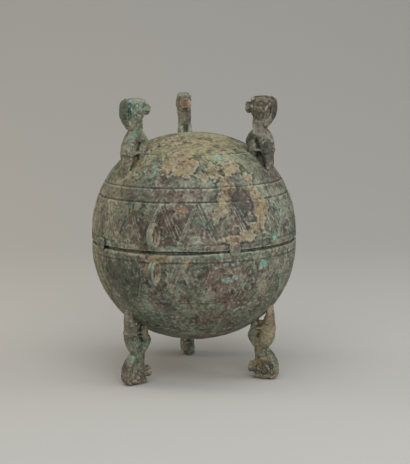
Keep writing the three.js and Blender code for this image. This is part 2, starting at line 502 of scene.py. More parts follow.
class RingStack:
    """Rings of points stitched into one closed surface, from the outside pole to the inside pole."""

    def __init__(self):
        self.points = []
        self.faces = []
        self.last = None

    def pole(self, height):
        self.points.append(np.array([[0.0, 0.0, height]]))
        self.stitch(self.size() - 1, 1)

    def ring(self, radius, height, columns):
        angle = 2 * math.pi * np.arange(columns) / columns
        up = np.full(columns, height)
        self.points.append(np.stack([radius * np.cos(angle), radius * np.sin(angle), up], axis=1))
        self.stitch(self.size() - columns, columns)

    def size(self):
        return sum(len(block) for block in self.points)

    def stitch(self, start, columns):
        if self.last is not None:
            above, above_columns = self.last
            steps = min(columns, above_columns)
            if steps == 1:
                steps = max(columns, above_columns)
            for step in range(steps):
                before = self.run(above, above_columns, step, steps)
                after = self.run(start, columns, step, steps)
                self.faces.append(tuple([before[0]] + after + before[:0:-1]))
        self.last = (start, columns)

    @staticmethod
    def run(start, columns, step, steps):
        """The ring's points along one step of the stitch, both ends included."""
        if columns == 1:
            return [start]
        share = columns // steps
        return [start + (step * share + k) % columns for k in range(share + 1)]


def columns_for(radius, most):
    """Fewer columns near the poles, halved each time, so that the points stay about evenly spaced."""
    columns = most
    while columns > FEWEST_COLUMNS and radius < HALVING_SHARE * BODY_RADIUS * columns / most:
        columns //= 2
    return columns


def half_shell(name, rise, settings, turned_over):
    """One half as a closed shell, with its rim at the seam: outside wall, rim and plainer inside wall."""
    wall = settings.wall / MM
    stack = RingStack()
    stack.pole(rise)
    angles = profile_angles(BODY_RADIUS, rise, settings.grain / MM)
    rim_angles = np.arcsin((np.array(RIM_ROWS) / rise) ** (SQUARENESS / 2))
    angles = np.concatenate([rim_angles, angles[angles > rim_angles[-1] * PAST_RIM_ROWS]])
    for angle in angles[-2::-1]:
        out, up = profile(angle, BODY_RADIUS, rise)
        stack.ring(out, up, columns_for(out, OUTSIDE_COLUMNS))
    inner_radius, inner_rise = BODY_RADIUS - wall, rise - wall
    for angle in profile_angles(inner_radius, inner_rise, INSIDE_STEP)[:-1]:
        out, up = profile(angle, inner_radius, inner_rise)
        stack.ring(out, up, columns_for(out, INSIDE_COLUMNS))
    stack.pole(inner_rise)
    points = np.concatenate(stack.points)
    if turned_over:
        points = points * np.array([1.0, -1.0, -1.0])
    return new_object(name, mesh_from(name, points, stack.faces))


def close_steps(line, longest):
    """The same line, with extra places on its straight runs so that it can follow a curved wall."""
    places = [line[0]]
    for start, end in zip(line[:-1], line[1:]):
        steps = max(1, math.ceil(math.dist(start, end) / longest))
        for k in range(1, steps + 1):
            share = k / steps
            places.append(tuple(a + (b - a) * share for a, b in zip(start, end)))
    return places


# The band's unit, in millimetres: how far apart the lines of its falling and rising sides stand, its cloud
# scrolls' radius at the start and what it grows by, the scroll's steps, and the size of its small strokes
FALLING_LINES = (0.0, 2.6, 6.6)
RISING_LINES = (0.0, 2.2)
SCROLL_RADIUS = 2.6
SCROLL_GROWTH = 4.6
SCROLL_TURN = 1.5 * math.pi
SCROLL_STEPS = 34
SCROLL_TAIL = (3.0, 6.0)
CHEVRON = ((-4.5, 10.5), (0.0, 8.6), (4.5, 10.5))
DASH = 3.0
LONGEST_STEP = 2.0


def cloud_motif(width, height):
    """The pattern's unit, drawn as lines: two triangles with doubled sides, each with a cloud scroll.

    Places in the unit are shares of its width and height.
    """
    strokes = [[(shift, height), (0.46 * width + shift, 0.0)] for shift in FALLING_LINES]
    strokes += [[(0.54 * width + shift, 0.0), (width + shift, height)] for shift in RISING_LINES]
    scrolls = (
        (0.52 * width, 0.66 * height, 1.0, 0.0),
        (0.02 * width + 2.0, 0.30 * height, -1.0, math.pi),
    )
    for x, y, way, start in scrolls:
        spiral = []
        for step in range(SCROLL_STEPS):
            share = step / (SCROLL_STEPS - 1)
            angle = start + way * share * SCROLL_TURN
            radius = SCROLL_RADIUS + SCROLL_GROWTH * share
            spiral.append((x + radius * math.cos(angle), y + radius * math.sin(angle)))
        strokes.append(spiral)
        tail_x, tail_y = spiral[-1]
        strokes.append([(tail_x, tail_y), (tail_x + way * SCROLL_TAIL[0], tail_y - way * SCROLL_TAIL[1])])
        strokes.append([(x + across, y + way * up) for across, up in CHEVRON])
    for level, place in ((0.16, 1.0), (0.84, 0.5)):
        middle = place * width + 1.0
        strokes.append([(middle - DASH, level * height), (middle + DASH, level * height)])
    points, edges = [], []
    for stroke in strokes:
        stroke = close_steps(stroke, LONGEST_STEP)
        first = len(points)
        points.extend((x, y, 0.0) for x, y in stroke)
        edges.extend((first + k, first + k + 1) for k in range(len(stroke) - 1))
    mesh = bpy.data.meshes.new("cloud_motif")
    mesh.from_pydata((np.array(points) * MM).tolist(), edges, [])
    return new_object("cloud_motif", mesh)


BAND_SOCKETS = {
    "Motif": "Object",
    "Repeats": "Int",
    "Unit width": "Float",
    "Body radius": "Float",
    "Rise": "Float",
    "Start": "Float",
    "Low": "Float",
    "Way": "Float",
    "Line width": "Float",
    "Height": "Float",
    "Wear size": "Float",
    "Kept": "Float",
    "Finish": "Material",
}

# The sums that bend the flat band onto the wall: the result's name, the operation, and what it is done to
BAND_SUMS = (
    ("angle", "DIVIDE", "X", "Body radius"),
    ("level", "ADD", "Y", "Low"),
    ("level share", "DIVIDE", "level", "Rise"),
    ("level power", "POWER", "level share", SQUARENESS),
    ("rest", "SUBTRACT", 1.0, "level power"),
    ("narrowing", "POWER", "rest", 1 / SQUARENESS),
    ("radius", "MULTIPLY", "narrowing", "Body radius"),
    ("cosine", "COSINE", "angle", 0.0),
    ("sine", "SINE", "angle", 0.0),
    ("out", "MULTIPLY", "radius", "cosine"),
    ("across", "MULTIPLY", "radius", "sine"),
    ("up", "MULTIPLY", "level", "Way"),
)

# The sums that keep the lines on the outside of the shell, wear them and raise them
RELIEF_SUMS = (
    ("outside", "GREATER_THAN", "facing", 0.0),
    ("outside thread", "MULTIPLY", "thread", "outside"),
    ("kept thread", "MULTIPLY", "outside thread", "kept"),
    ("raised", "MULTIPLY", "kept thread", "Height"),
)

# The width of a cast line, and the size of the places where wear has taken the lines, in millimetres
BAND_LINE_WIDTH = 1.0
BAND_WEAR_SIZE = 16.0

# Where the wear's noise leaves the least of the lines and where it leaves them all, and that least share
WORN_NOISE, UNWORN_NOISE = 0.4, 0.56
LEAST_KEPT = 0.1


def cast_band_tree():
    """Repeats the motif round the wall, bends it onto the wall, and raises its lines from the surface."""
    tree = new_tree("cast_band", BAND_SOCKETS)
    given = add_node(tree, "NodeGroupInput").outputs
    motif = add_node(tree, "GeometryNodeObjectInfo", {"Object": given["Motif"]})
    offset = add_node(tree, "ShaderNodeCombineXYZ", {"X": given["Unit width"]})
    start = add_node(tree, "ShaderNodeCombineXYZ", {"X": given["Start"]})
    places = add_node(
        tree,
        "GeometryNodeMeshLine",
        {"Count": given["Repeats"], "Start Location": start.outputs[0], "Offset": offset.outputs[0]},
        mode="OFFSET",
    )
    repeated = add_node(
        tree,
        "GeometryNodeInstanceOnPoints",
        {"Points": places.outputs[0], "Instance": motif.outputs["Geometry"]},
    )
    flat = add_node(tree, "GeometryNodeRealizeInstances", {"Geometry": repeated.outputs[0]})

    here = add_node(tree, "GeometryNodeInputPosition")
    axes = add_node(tree, "ShaderNodeSeparateXYZ", {0: here.outputs[0]}).outputs
    values = {socket.name: socket for socket in (*given, *axes)}
    for result, operation, first, second in BAND_SUMS:
        taken = {0: values.get(first, first), 1: values.get(second, second)}
        values[result] = add_node(tree, "ShaderNodeMath", taken, operation=operation).outputs[0]
    on_wall = add_node(
        tree, "ShaderNodeCombineXYZ", {"X": values["out"], "Y": values["across"], "Z": values["up"]}
    )
    bent = add_node(
        tree, "GeometryNodeSetPosition", {"Geometry": flat.outputs[0], "Position": on_wall.outputs[0]}
    )

    # How much of a cast line lies under each point of the wall
    nearest = add_node(tree, "GeometryNodeProximity", {0: bent.outputs[0]}, target_element="EDGES")
    thread = add_node(
        tree,
        "ShaderNodeMapRange",
        {
            "Value": nearest.outputs["Distance"],
            "From Min": given["Line width"],
            "From Max": 0.0,
            "To Min": 0.0,
            "To Max": 1.0,
        },
        interpolation_type="SMOOTHSTEP",
    )
    wear_scale = add_node(tree, "ShaderNodeMath", {0: 1.0, 1: given["Wear size"]}, operation="DIVIDE")
    wear = add_node(tree, "ShaderNodeTexNoise", {"Scale": wear_scale.outputs[0], "Detail": 2.0})
    kept = add_node(
        tree,
        "ShaderNodeMapRange",
        {
            "Value": wear.outputs[0],
            "From Min": WORN_NOISE,
            "From Max": UNWORN_NOISE,
            "To Min": LEAST_KEPT,
            "To Max": given["Kept"],
        },
    )

    # Only the outside of the shell, where the surface faces away from the middle, carries the lines
    place = add_node(tree, "GeometryNodeInputPosition")
    away = add_node(tree, "ShaderNodeVectorMath", {0: place.outputs[0]}, operation="NORMALIZE")
    outward = add_node(tree, "GeometryNodeInputNormal")
    facing = add_node(
        tree, "ShaderNodeVectorMath", {0: outward.outputs[0], 1: away.outputs[0]}, operation="DOT_PRODUCT"
    )
    values.update(thread=thread.outputs[0], facing=facing.outputs["Value"], kept=kept.outputs[0])
    for result, operation, first, second in RELIEF_SUMS:
        taken = {0: values.get(first, first), 1: values.get(second, second)}
        values[result] = add_node(tree, "ShaderNodeMath", taken, operation=operation).outputs[0]
    lift = add_node(
        tree, "ShaderNodeVectorMath", {0: outward.outputs[0], "Scale": values["raised"]}, operation="SCALE"
    )
    threaded = add_node(
        tree, "GeometryNodeSetPosition", {"Geometry": given["Geometry"], "Offset": lift.outputs[0]}
    )
    marked = add_node(
        tree,
        "GeometryNodeStoreNamedAttribute",
        {"Geometry": threaded.outputs[0], "Name": "thread", "Value": values["kept thread"]},
    )
    real = add_node(tree, "GeometryNodeRealizeInstances", {"Geometry": marked.outputs[0]})
    done = add_node(
        tree, "GeometryNodeSetMaterial", {"Geometry": real.outputs[0], "Material": given["Finish"]}
    )
    add_node(tree, "NodeGroupOutput", {"Geometry": done.outputs[0]})
    return tree


def raise_band(shell, rise, low, high, kept, way, material):
    """Raises the band between two heights from the rim. kept is the share that wear has left of it."""
    settings = bpy.context.scene.dui_body
    tree = cast_band_tree()
    width = 2 * math.pi * BODY_RADIUS / settings.band_repeats
    motif = cloud_motif(width, high - low)
    run_tree(
        shell,
        tree,
        {
            "Motif": motif,
            "Repeats": settings.band_repeats,
            "Unit width": width * MM,
            "Body radius": BODY_RADIUS * MM,
            "Rise": rise * MM,
            "Start": settings.band_start,
            "Low": low * MM,
            "Way": way,
            "Line width": BAND_LINE_WIDTH * MM,
            "Height": settings.band_height,
            "Wear size": BAND_WEAR_SIZE * MM,
            "Kept": kept,
            "Finish": material,
        },
    )
    discard(motif)


# Patches of corrosion and tarnish, with two painted shadows among the dark: turn round the axis in
# degrees, height from the rim, half width and half height in millimetres, strength
PATCHES = {
    "earth": (
        (-84, 76, 13, 9, 1.0),
        (-71, 74, 11, 8, 1.0),
        (-79, 83, 12, 5, 0.8),
        (-61, 68, 9, 6, 0.7),
        (-53, 71, 8, 7, 0.9),
        (-39, 73, 11, 7, 0.85),
        (-29, 64, 9, 7, 0.8),
        (-45, 58, 9, 8, 1.0),
        (-49, 48, 7, 8, 0.85),
        (-51, 37, 6, 7, 0.7),
        (-55, 29, 5, 6, 0.5),
        (-28, 51, 7, 8, 0.8),
        (-25, 39, 8, 9, 1.0),
        (-28, 28, 7, 8, 0.95),
        (-33, 21, 7, 7, 0.95),
        (-37, 14.5, 9, 6, 0.85),
        (-46, 11, 13, 4.5, 0.8),
        (-100, 40, 5, 4.5, 0.85),
        (-94, -20, 5, 8, 0.75),
        (-112, 66, 12, 5, 0.5),
        (-120, 90, 12, 8, 0.7),
        (-88, 97, 12, 3.5, 0.75),
        (-49, 99, 26, 8, 0.35),
        (-75, 92, 26, 11, 0.3),
        (-30, 92, 22, 9, 0.25),
        (-110, 88, 20, 12, 0.25),
        (-36, 60, 18, 18, 0.2),
        (-29, -55, 9, 7, 0.45),
        (-24, -36, 6, 10, 0.35),
        (95, 70, 16, 9, 0.8),
        (150, 30, 9, 18, 0.7),
        (60, -30, 12, 14, 0.5),
    ),
    "cuprite": (
        (-39, 40, 14, 17, 1.0),
        (-79, 32, 17, 15, 1.0),
        (-78, 51, 14, 5, 0.8),
        (-99, 21, 17, 13, 0.9),
        (-62, 24, 20, 14, 0.8),
        (-42, 20, 16, 11, 0.75),
        (-84, 10, 26, 7, 0.75),
        (-48, 5, 26, 4, 0.6),
        (-50, -26, 26, 15, 1.0),
        (-42, -46, 20, 13, 0.85),
        (-54, -64, 24, 9, 0.7),
        (-76, -24, 9, 20, 0.5),
        (-50, -12, 10, 6, 0.6),
        (-70, -26, 14, 9, 0.4),
        (-16, -10, 7, 5, 0.7),
        (-10, 50, 12, 8, 0.4),
        (120, 35, 16, 14, 0.8),
        (30, 20, 14, 12, 0.7),
        (170, -25, 20, 12, 0.6),
    ),
    "ochre": (
        (-86, -5.4, 13, 3.4, 1.0),
        (-70, -9.5, 8, 3, 0.75),
        (-73, 39, 4, 3.5, 0.85),
        (-56, -8, 6, 3, 0.4),
        (100, -8, 10, 4, 0.8),
    ),
    "malachite": (
        (-94, 74, 7, 12, 0.95),
        (-45, 82, 12, 7, 0.85),
        (-27, 84, 8, 5, 0.6),
        (-55, 63, 6, 6, 0.7),
        (-18, 8, 8, 6, 0.8),
        (-13, 37, 6, 8, 0.6),
        (-114, 31, 9, 7, 0.5),
        (-60, 27, 8, 6, 0.45),
        (-77, 3, 12, 2.5, 0.6),
        (-74, -74, 14, 6, 0.5),
        (-54, -3, 8, 2.5, 0.6),
        (-22, -14, 9, 6, 0.6),
        (-104, -34, 20, 24, 0.6),
        (-98, -67, 18, 10, 0.65),
        (-78, -42, 10, 14, 0.55),
        (75, 50, 18, 12, 0.6),
        (10, -30, 16, 16, 0.4),
        (140, -50, 20, 14, 0.5),
    ),
    "turquoise": (
        (-27, -16, 7, 5.4, 0.62),
        (-49, -26.4, 8, 2.4, 0.6),
        (-44, -24.4, 3.4, 2.6, 0.6),
        (-45, 82, 5, 2.5, 0.55),
        (-18, 8, 3, 2.5, 0.7),
        (-52, -2.5, 3, 2, 0.6),
        (-13, 37, 2.5, 3.5, 0.5),
        (-77, 3, 5, 1.5, 0.5),
        (-101, 25, 2.5, 3, 0.4),
        (-50, -12, 2.4, 2.0, 0.6),
        (-55, -14, 1.8, 1.8, 0.5),
        (110, 60, 5, 4, 0.9),
        (0, 15, 4, 4, 0.8),
    ),
    "chalk": (
        (-27, -33, 8, 11, 0.6),
        (-29, -55, 9, 7, 0.5),
        (-5, 31, 12, 17, 0.7),
        (-42, 82, 16, 7, 0.5),
        (-15, 45, 10, 9, 0.55),
        (-100, 22, 8, 8, 0.3),
        (-74, -74, 18, 4, 0.4),
    ),
    "silt": (
        (-60, 99, 60, 22, 1.0),
        (-118, 84, 26, 20, 0.7),
        (-40, 76, 30, 10, 0.45),
        (-100, 90, 26, 12, 0.9),
        (-118, 58, 16, 14, 0.35),
        (120, 95, 60, 20, 0.8),
    ),
    "dark": (
        (-112, -26, 26, 22, 0.95),
        (-39, 42, 12, 15, 1.0),
        (-70, 26, 26, 10, 0.3),
        (-80, 24, 22, 18, 0.4),
        (-104, 36, 22, 30, 0.6),
        (-105, -75, 22, 12, 0.55),
        (-84, -50, 8, 6, 0.6),
        (-130, 20, 12, 22, 0.5),
        # Painted shadows that the front rings cast on the wall beside and below them
        (-94, 9, 5.5, 8, 1.6),
        (-92, -28, 4.5, 5, 1.3),
        (-68, -94, 40, 8, 0.5),
    ),
}


# Small scattered corrosion: strength, feature size in millimetres, seed, octaves, and the noise at which it
# starts and is full
STRAY = {
    "cuprite": (0.7, 21.0, 41, 4, 0.05, 0.5),
    "malachite": (0.6, 14.0, 42, 4, 0.26, 0.6),
    "chalk": (0.45, 8.0, 43, 3, 0.28, 0.6),
    "earth": (0.45, 17.0, 44, 4, 0.36, 0.7),
    "turquoise": (0.6, 4.0, 45, 2, 0.78, 0.98),
}

# The patches' ragged edge, and how far out, as a share of its size, a patch ends and is full
EDGE_NOISE = ((0.42, 9.0, 11, 3), (0.25, 2.6, 12, 2))
PATCH_END, PATCH_FULL = 1.25, 0.62


def body_marks(points):
    """Where each kind of corrosion lies on the body, and where the rings' painted shadows lie, from 0 to 1.
    Points start from the rim's centre.
    """
    turn = np.degrees(np.arctan2(points[:, 1], points[:, 0]))
    around = np.hypot(points[:, 0], points[:, 1])
    edge = layered_noise(points, EDGE_NOISE)
    marks = {}
    for kind, patches in PATCHES.items():
        cover = np.zeros(len(points))
        for angle, height, half_width, half_height, strength in patches:
            across = np.radians((turn - angle + 180) % 360 - 180) * around
            reach = np.hypot(across / half_width, (points[:, 2] - height) / half_height)
            cover = np.maximum(cover, strength * ramp(reach + edge, PATCH_END, PATCH_FULL))
        marks[kind] = cover
    for kind, (strength, size, seed, octaves, low, high) in STRAY.items():
        stray = strength * ramp(noise(points, size, seed, octaves), low, high)
        marks[kind] = np.maximum(marks[kind], stray)
    return marks


# The places where the gap at the seam is wide: the turn of each in degrees, how far from it the widening ends
# and is full, and its share
GAP_PLACES = ((-108.0, 62.0, 30.0, 1.0), (-12.0, 40.0, 18.0, 0.7))

# The gap's reach from the seam where it is narrow, and what the widening adds, in millimetres
BOWL_GAP = (1.0, 0.75)
LID_GAP = (0.55, 0.25)
GAP_NOISE = (0.22, 6.0, 14, 2)
GAP_STEEPNESS = 6


def seam_gap(points, way):
    """The worn edge of the rim, from 0 to 1: a gap, mostly on the bowl's side, that is sunk into the wall and
    painted dark as shade.
    """
    turn = np.degrees(np.arctan2(points[:, 1], points[:, 0]))
    widest = np.zeros(len(points))
    for angle, end, full, share in GAP_PLACES:
        away = np.abs((turn - angle + 180) % 360 - 180)
        widest = np.maximum(widest, share * ramp(away, end, full))
    narrow, widening = BOWL_GAP if way < 0 else LID_GAP
    width = (narrow + widening * widest) * layered_noise(points, [GAP_NOISE], 1.0)
    return 1 / (1 + (np.abs(points[:, 2]) / width) ** GAP_STEEPNESS)


# The wall's noises, each layer's height and feature size in millimetres, seed and octaves: the wander and the
# wear of the cast lines, the lumps of the crust, the wall's own unevenness, its upright streaks, the seam's
# depth. The inside's is only a size, a seed and octaves
LINE_WANDER = [(0.25, 30.0, 3, 1)]
LINE_WEAR = [(0.35, 25.0, 4, 2)]
CRUST_LUMPS = [(0.35, 6.5, 21, 2), (0.16, 2.4, 22, 1)]
WALL_NOISE = [(0.22, 16.0, 5, 2), (0.15, 3.4, 6, 2), (0.1, 1.7, 7, 1)]
STREAKS = [(0.16, 1.9, 13, 2)]
STREAK_SQUASH = (1.0, 1.0, 0.3)
GAP_DEPTH_NOISE = [(0.3, 7.0, 9, 2)]
INSIDE_NOISE = (6.0, 10, 2)

# In millimetres: the raised lip above each cast line, the pits, chloride spots, brown hollows and worn seam
LIP_HEIGHT, LIP_AWAY, LIP_WIDTH = 0.35, 1.7, 0.9
PIT_DEPTH, PIT_SIZE = 0.2, 4.2
SPOT_HEIGHT = 0.3
BROWN_DEPTH = 0.12
GAP_DEPTH = 2.3
INSIDE_ROUGHNESS = 0.12

# How steep a cast line's sides are, and the share of its depth that is left on average
LINE_STEEPNESS = 1.6
LINE_LEFT = 0.75

# A wall's middle share, which parts its outside from its inside, and the flattest slope that widens a line
OUTSIDE_SHARE = 0.4
FLATTEST_SLOPE = 0.2


def corrode_wall(mesh, rise, lines, way, settings):
    """Sinks the cast lines, wears the rim and raises the crust. way is 1 for the lid and -1 for the bowl."""
    points = positions(mesh)
    depth = wall_depth(points, BODY_RADIUS, rise)
    outside = depth < OUTSIDE_SHARE * settings.wall / MM
    direction = wall_normals(points, BODY_RADIUS, rise)
    height = np.abs(points[:, 2])
    slope = np.maximum(np.hypot(direction[:, 0], direction[:, 1]), FLATTEST_SLOPE)
    lift = np.zeros(len(points))
    half_width = 0.5 * settings.line_width / MM
    for line, share in lines:
        away = layered_noise(points, LINE_WANDER, (height - line) / slope)
        worn = share * layered_noise(points, LINE_WEAR, LINE_LEFT)
        lift -= worn * settings.line_depth / MM * np.exp(-((away / half_width) ** 2) * LINE_STEEPNESS)
        lift += LIP_HEIGHT * worn * np.exp(-(((away + LIP_AWAY) / LIP_WIDTH) ** 2))
    marks = body_marks(points)
    lumps = np.maximum(layered_noise(points, CRUST_LUMPS, 0.7), 0.3)
    lift += ramp(marks["earth"], 0.3, 0.6) * lumps * settings.crust / MM
    lift += layered_noise(points, WALL_NOISE)
    lift += layered_noise(points * STREAK_SQUASH, STREAKS)
    lift -= PIT_DEPTH * ramp(noise(points, PIT_SIZE, 8), 0.62, 0.9)
    lift += SPOT_HEIGHT * marks["turquoise"] - BROWN_DEPTH * marks["cuprite"]
    lift -= seam_gap(points, way) * layered_noise(points, GAP_DEPTH_NOISE, GAP_DEPTH)
    points[outside] += (direction * lift[:, None])[outside]
    uneven = INSIDE_ROUGHNESS * noise(points, *INSIDE_NOISE)
    points[~outside] += (direction * uneven[:, None])[~outside]
    points[:, 2] = way * np.maximum(way * points[:, 2], 0.0)
    set_positions(mesh, points)


# In millimetres: the tongues' voxel, how far out from the wall they start, the height below which they clear
# the bowl, by how much they clear it, and how far they stand proud
TONGUE_VOXEL = 0.6
TONGUE_FACE = 0.4
TONGUE_CLEAR_BELOW = 0.4
TONGUE_CLEARANCE = 0.35
TONGUE_PROUD = 3.15


def tongue_forms():
    """A clip tongue on the lid's rim, as overlapping closed forms: a worn lump with two bosses."""
    face = BODY_RADIUS + TONGUE_FACE
    return [
        stroke([(face, 6.4, 2.2, 5.0), (face + 0.6, 2.4, 2.7, 5.9), (face + 0.9, -1.9, 2.3, 4.6)]),
        blob((face + 2.0, 0, -1.6), (1.4, 3.0, 2.2)),
        blob((face + 2.4, 2.9, 2.8), (1.2, 1.6, 1.6)),
        blob((face + 2.4, -2.9, 2.8), (1.2, 1.6, 1.6)),
    ]


def add_tongues(lid):
    """Joins the four clip tongues to the lid's rim, clear of the bowl."""
    tongue = merged_forms("tongue", tongue_forms(), TONGUE_VOXEL)
    points = positions(tongue.data)
    below = points[:, 2] < TONGUE_CLEAR_BELOW
    around = np.hypot(points[:, 0], points[:, 1])
    clear = BODY_RADIUS + TONGUE_CLEARANCE
    push = np.where(below & (around < clear), clear / around, 1.0)
    points[:, :2] *= push[:, None]
    points[:, 0] = np.minimum(points[:, 0], BODY_RADIUS + TONGUE_PROUD)
    set_positions(tongue.data, points)
    for degrees in (-TONGUE_FROM_LUG, TONGUE_FROM_LUG, 180 - TONGUE_FROM_LUG, 180 + TONGUE_FROM_LUG):
        copy = new_object("tongue_copy", tongue.data.copy())
        copy.data.transform(Matrix.Rotation(math.radians(LUG_TURN + degrees), 4, "Z"))
        union = lid.modifiers.new("tongue", "BOOLEAN")
        union.solver = "MANIFOLD"
        union.operation = "UNION"
        union.object = copy
        apply_modifiers(lid)
        discard(copy)
    discard(tongue)


# The tarnish of the plain inside, the painted shade laid in the gap at the seam, and how far out from the
# wall that painted shade reaches
INSIDE_DARK = 0.7
GAP_PAINTED_SHADE = 1.7
GAP_SHADE_REACH = 0.15


def make_half(name, rise, lines, band, turned_over, material):
    settings = bpy.context.scene.dui_body
    shell = half_shell(f"dui_{name}", rise, settings, turned_over)
    way = -1.0 if turned_over else 1.0
    corrode_wall(shell.data, rise, lines, way, settings)
    raise_band(shell, rise, *band, way, material)
    if not turned_over:
        add_tongues(shell)
    mesh = shell.data
    points = positions(mesh)
    marks = body_marks(points)
    marks["cavity"] = cavity(mesh, passes=14, full=0.35)
    inside = wall_depth(points, BODY_RADIUS, rise) > 0.5 * settings.wall / MM
    in_gap = np.hypot(points[:, 0], points[:, 1]) < BODY_RADIUS + GAP_SHADE_REACH
    # Painted shade in the gap at the seam, kept off the tongues that stand proud of the wall
    marks["dark"] = np.maximum(marks["dark"], GAP_PAINTED_SHADE * in_gap * seam_gap(points, way))
    marks["dark"] = np.where(inside, INSIDE_DARK, marks["dark"])
    mesh.transform(Matrix.Translation((0, 0, (RIM_HEIGHT + way * SEAM_HALF_GAP) * MM)))
    finish_piece(shell, [name], material, marks)


# The legs and other small castings, from strokes and blobs


def through(values, share):
    """A smooth curve through the rows of values, at a share from 0 to 1 of the way."""
    rows = np.asarray(values, float)
    place = share * (len(rows) - 1)
    first = np.minimum(place.astype(int), len(rows) - 2)
    part = (place - first)[:, None]
    before, after = rows[np.maximum(first - 1, 0)], rows[np.minimum(first + 2, len(rows) - 1)]
    start, end = rows[first], rows[first + 1]
    return 0.5 * (
        2 * start
        + (end - before) * part
        + (2 * before - 5 * start + 4 * end - after) * part**2
        + (3 * start - before - 3 * end + after) * part**3
    )


# Points round a stroke or blob, a blob's rows, places for each row of a path, and the rows of a rounded end
FORM_SIDES = 18
BLOB_ROWS = 12
PATH_STEPS = 10
END_SHARES = (0.2, 0.5, 0.75, 0.93)


def stroke(path, aside=0.0, ends=1.0):
    """A rounded limb in the upright plane. Each path row is distance out, height, half depth, half width.

    ends is 1 for round ends and less for blunter ones.
    """
    rows = through(path, np.linspace(0, 1, PATH_STEPS * len(path)))
    centre, depth, width = rows[:, :2], np.maximum(rows[:, 2], 0.3), np.maximum(rows[:, 3], 0.3)
    along = np.gradient(centre, axis=0)
    along /= np.maximum(np.linalg.norm(along, axis=1), 1e-9)[:, None]
    rings = list(zip(centre, along, depth, width))
    for share in reversed(END_SHARES):
        grow = math.sqrt(1 - (1 - share) ** 2)
        first = centre[0] - along[0] * depth[0] * (1 - share) * ends
        last = centre[-1] + along[-1] * depth[-1] * (1 - share) * ends
        rings.insert(0, (first, along[0], depth[0] * grow, width[0] * grow))
        rings.append((last, along[-1], depth[-1] * grow, width[-1] * grow))
    angle = 2 * math.pi * np.arange(FORM_SIDES) / FORM_SIDES
    points, faces = [], []
    for place, way, half_depth, half_width in rings:
        across = np.array([way[1], -way[0]])
        out = place[0] + half_depth * np.cos(angle) * across[0]
        up = place[1] + half_depth * np.cos(angle) * across[1]
        points.append(np.stack([out, aside + half_width * np.sin(angle), up], axis=1))
    for row in range(len(rings) - 1):
        for k in range(FORM_SIDES):
            a, b = row * FORM_SIDES + k, row * FORM_SIDES + (k + 1) % FORM_SIDES
            faces.append((a, b, b + FORM_SIDES, a + FORM_SIDES))
    faces.append(tuple(range(FORM_SIDES))[::-1])
    last_ring = (len(rings) - 1) * FORM_SIDES
    faces.append(tuple(range(last_ring, last_ring + FORM_SIDES)))
    return np.concatenate(points), faces


def blob(centre, half_sizes):
    """An ellipsoid, as rings between two poles."""
    points = [(0.0, 0.0, -1.0)]
    for row in range(1, BLOB_ROWS):
        level = math.pi * row / BLOB_ROWS
        for k in range(FORM_SIDES):
            turn = 2 * math.pi * k / FORM_SIDES
            out = math.sin(level)
            points.append((out * math.cos(turn), out * math.sin(turn), -math.cos(level)))
    points.append((0.0, 0.0, 1.0))
    top = len(points) - 1
    faces = []
    for k in range(FORM_SIDES):
        after = (k + 1) % FORM_SIDES
        faces.append((0, 1 + after, 1 + k))
        for row in range(BLOB_ROWS - 2):
            low, high = 1 + row * FORM_SIDES, 1 + (row + 1) * FORM_SIDES
            faces.append((low + k, low + after, high + after, high + k))
        last = 1 + (BLOB_ROWS - 2) * FORM_SIDES
        faces.append((last + k, last + after, top))
    return np.array(points) * np.array(half_sizes) + np.array(centre), faces


def merged_forms(name, forms, voxel):
    """Overlapping closed forms melted into one surface."""
    points, faces = [], []
    for form_points, form_faces in forms:
        start = sum(len(block) for block in points)
        points.append(form_points)
        faces.extend(tuple(start + k for k in face) for face in form_faces)
    piece = new_object(name, mesh_from(name, np.concatenate(points), faces))
    melt(piece, voxel)
    return piece


def both_sides(path, aside):
    return [stroke(path, aside), stroke(path, -aside)]


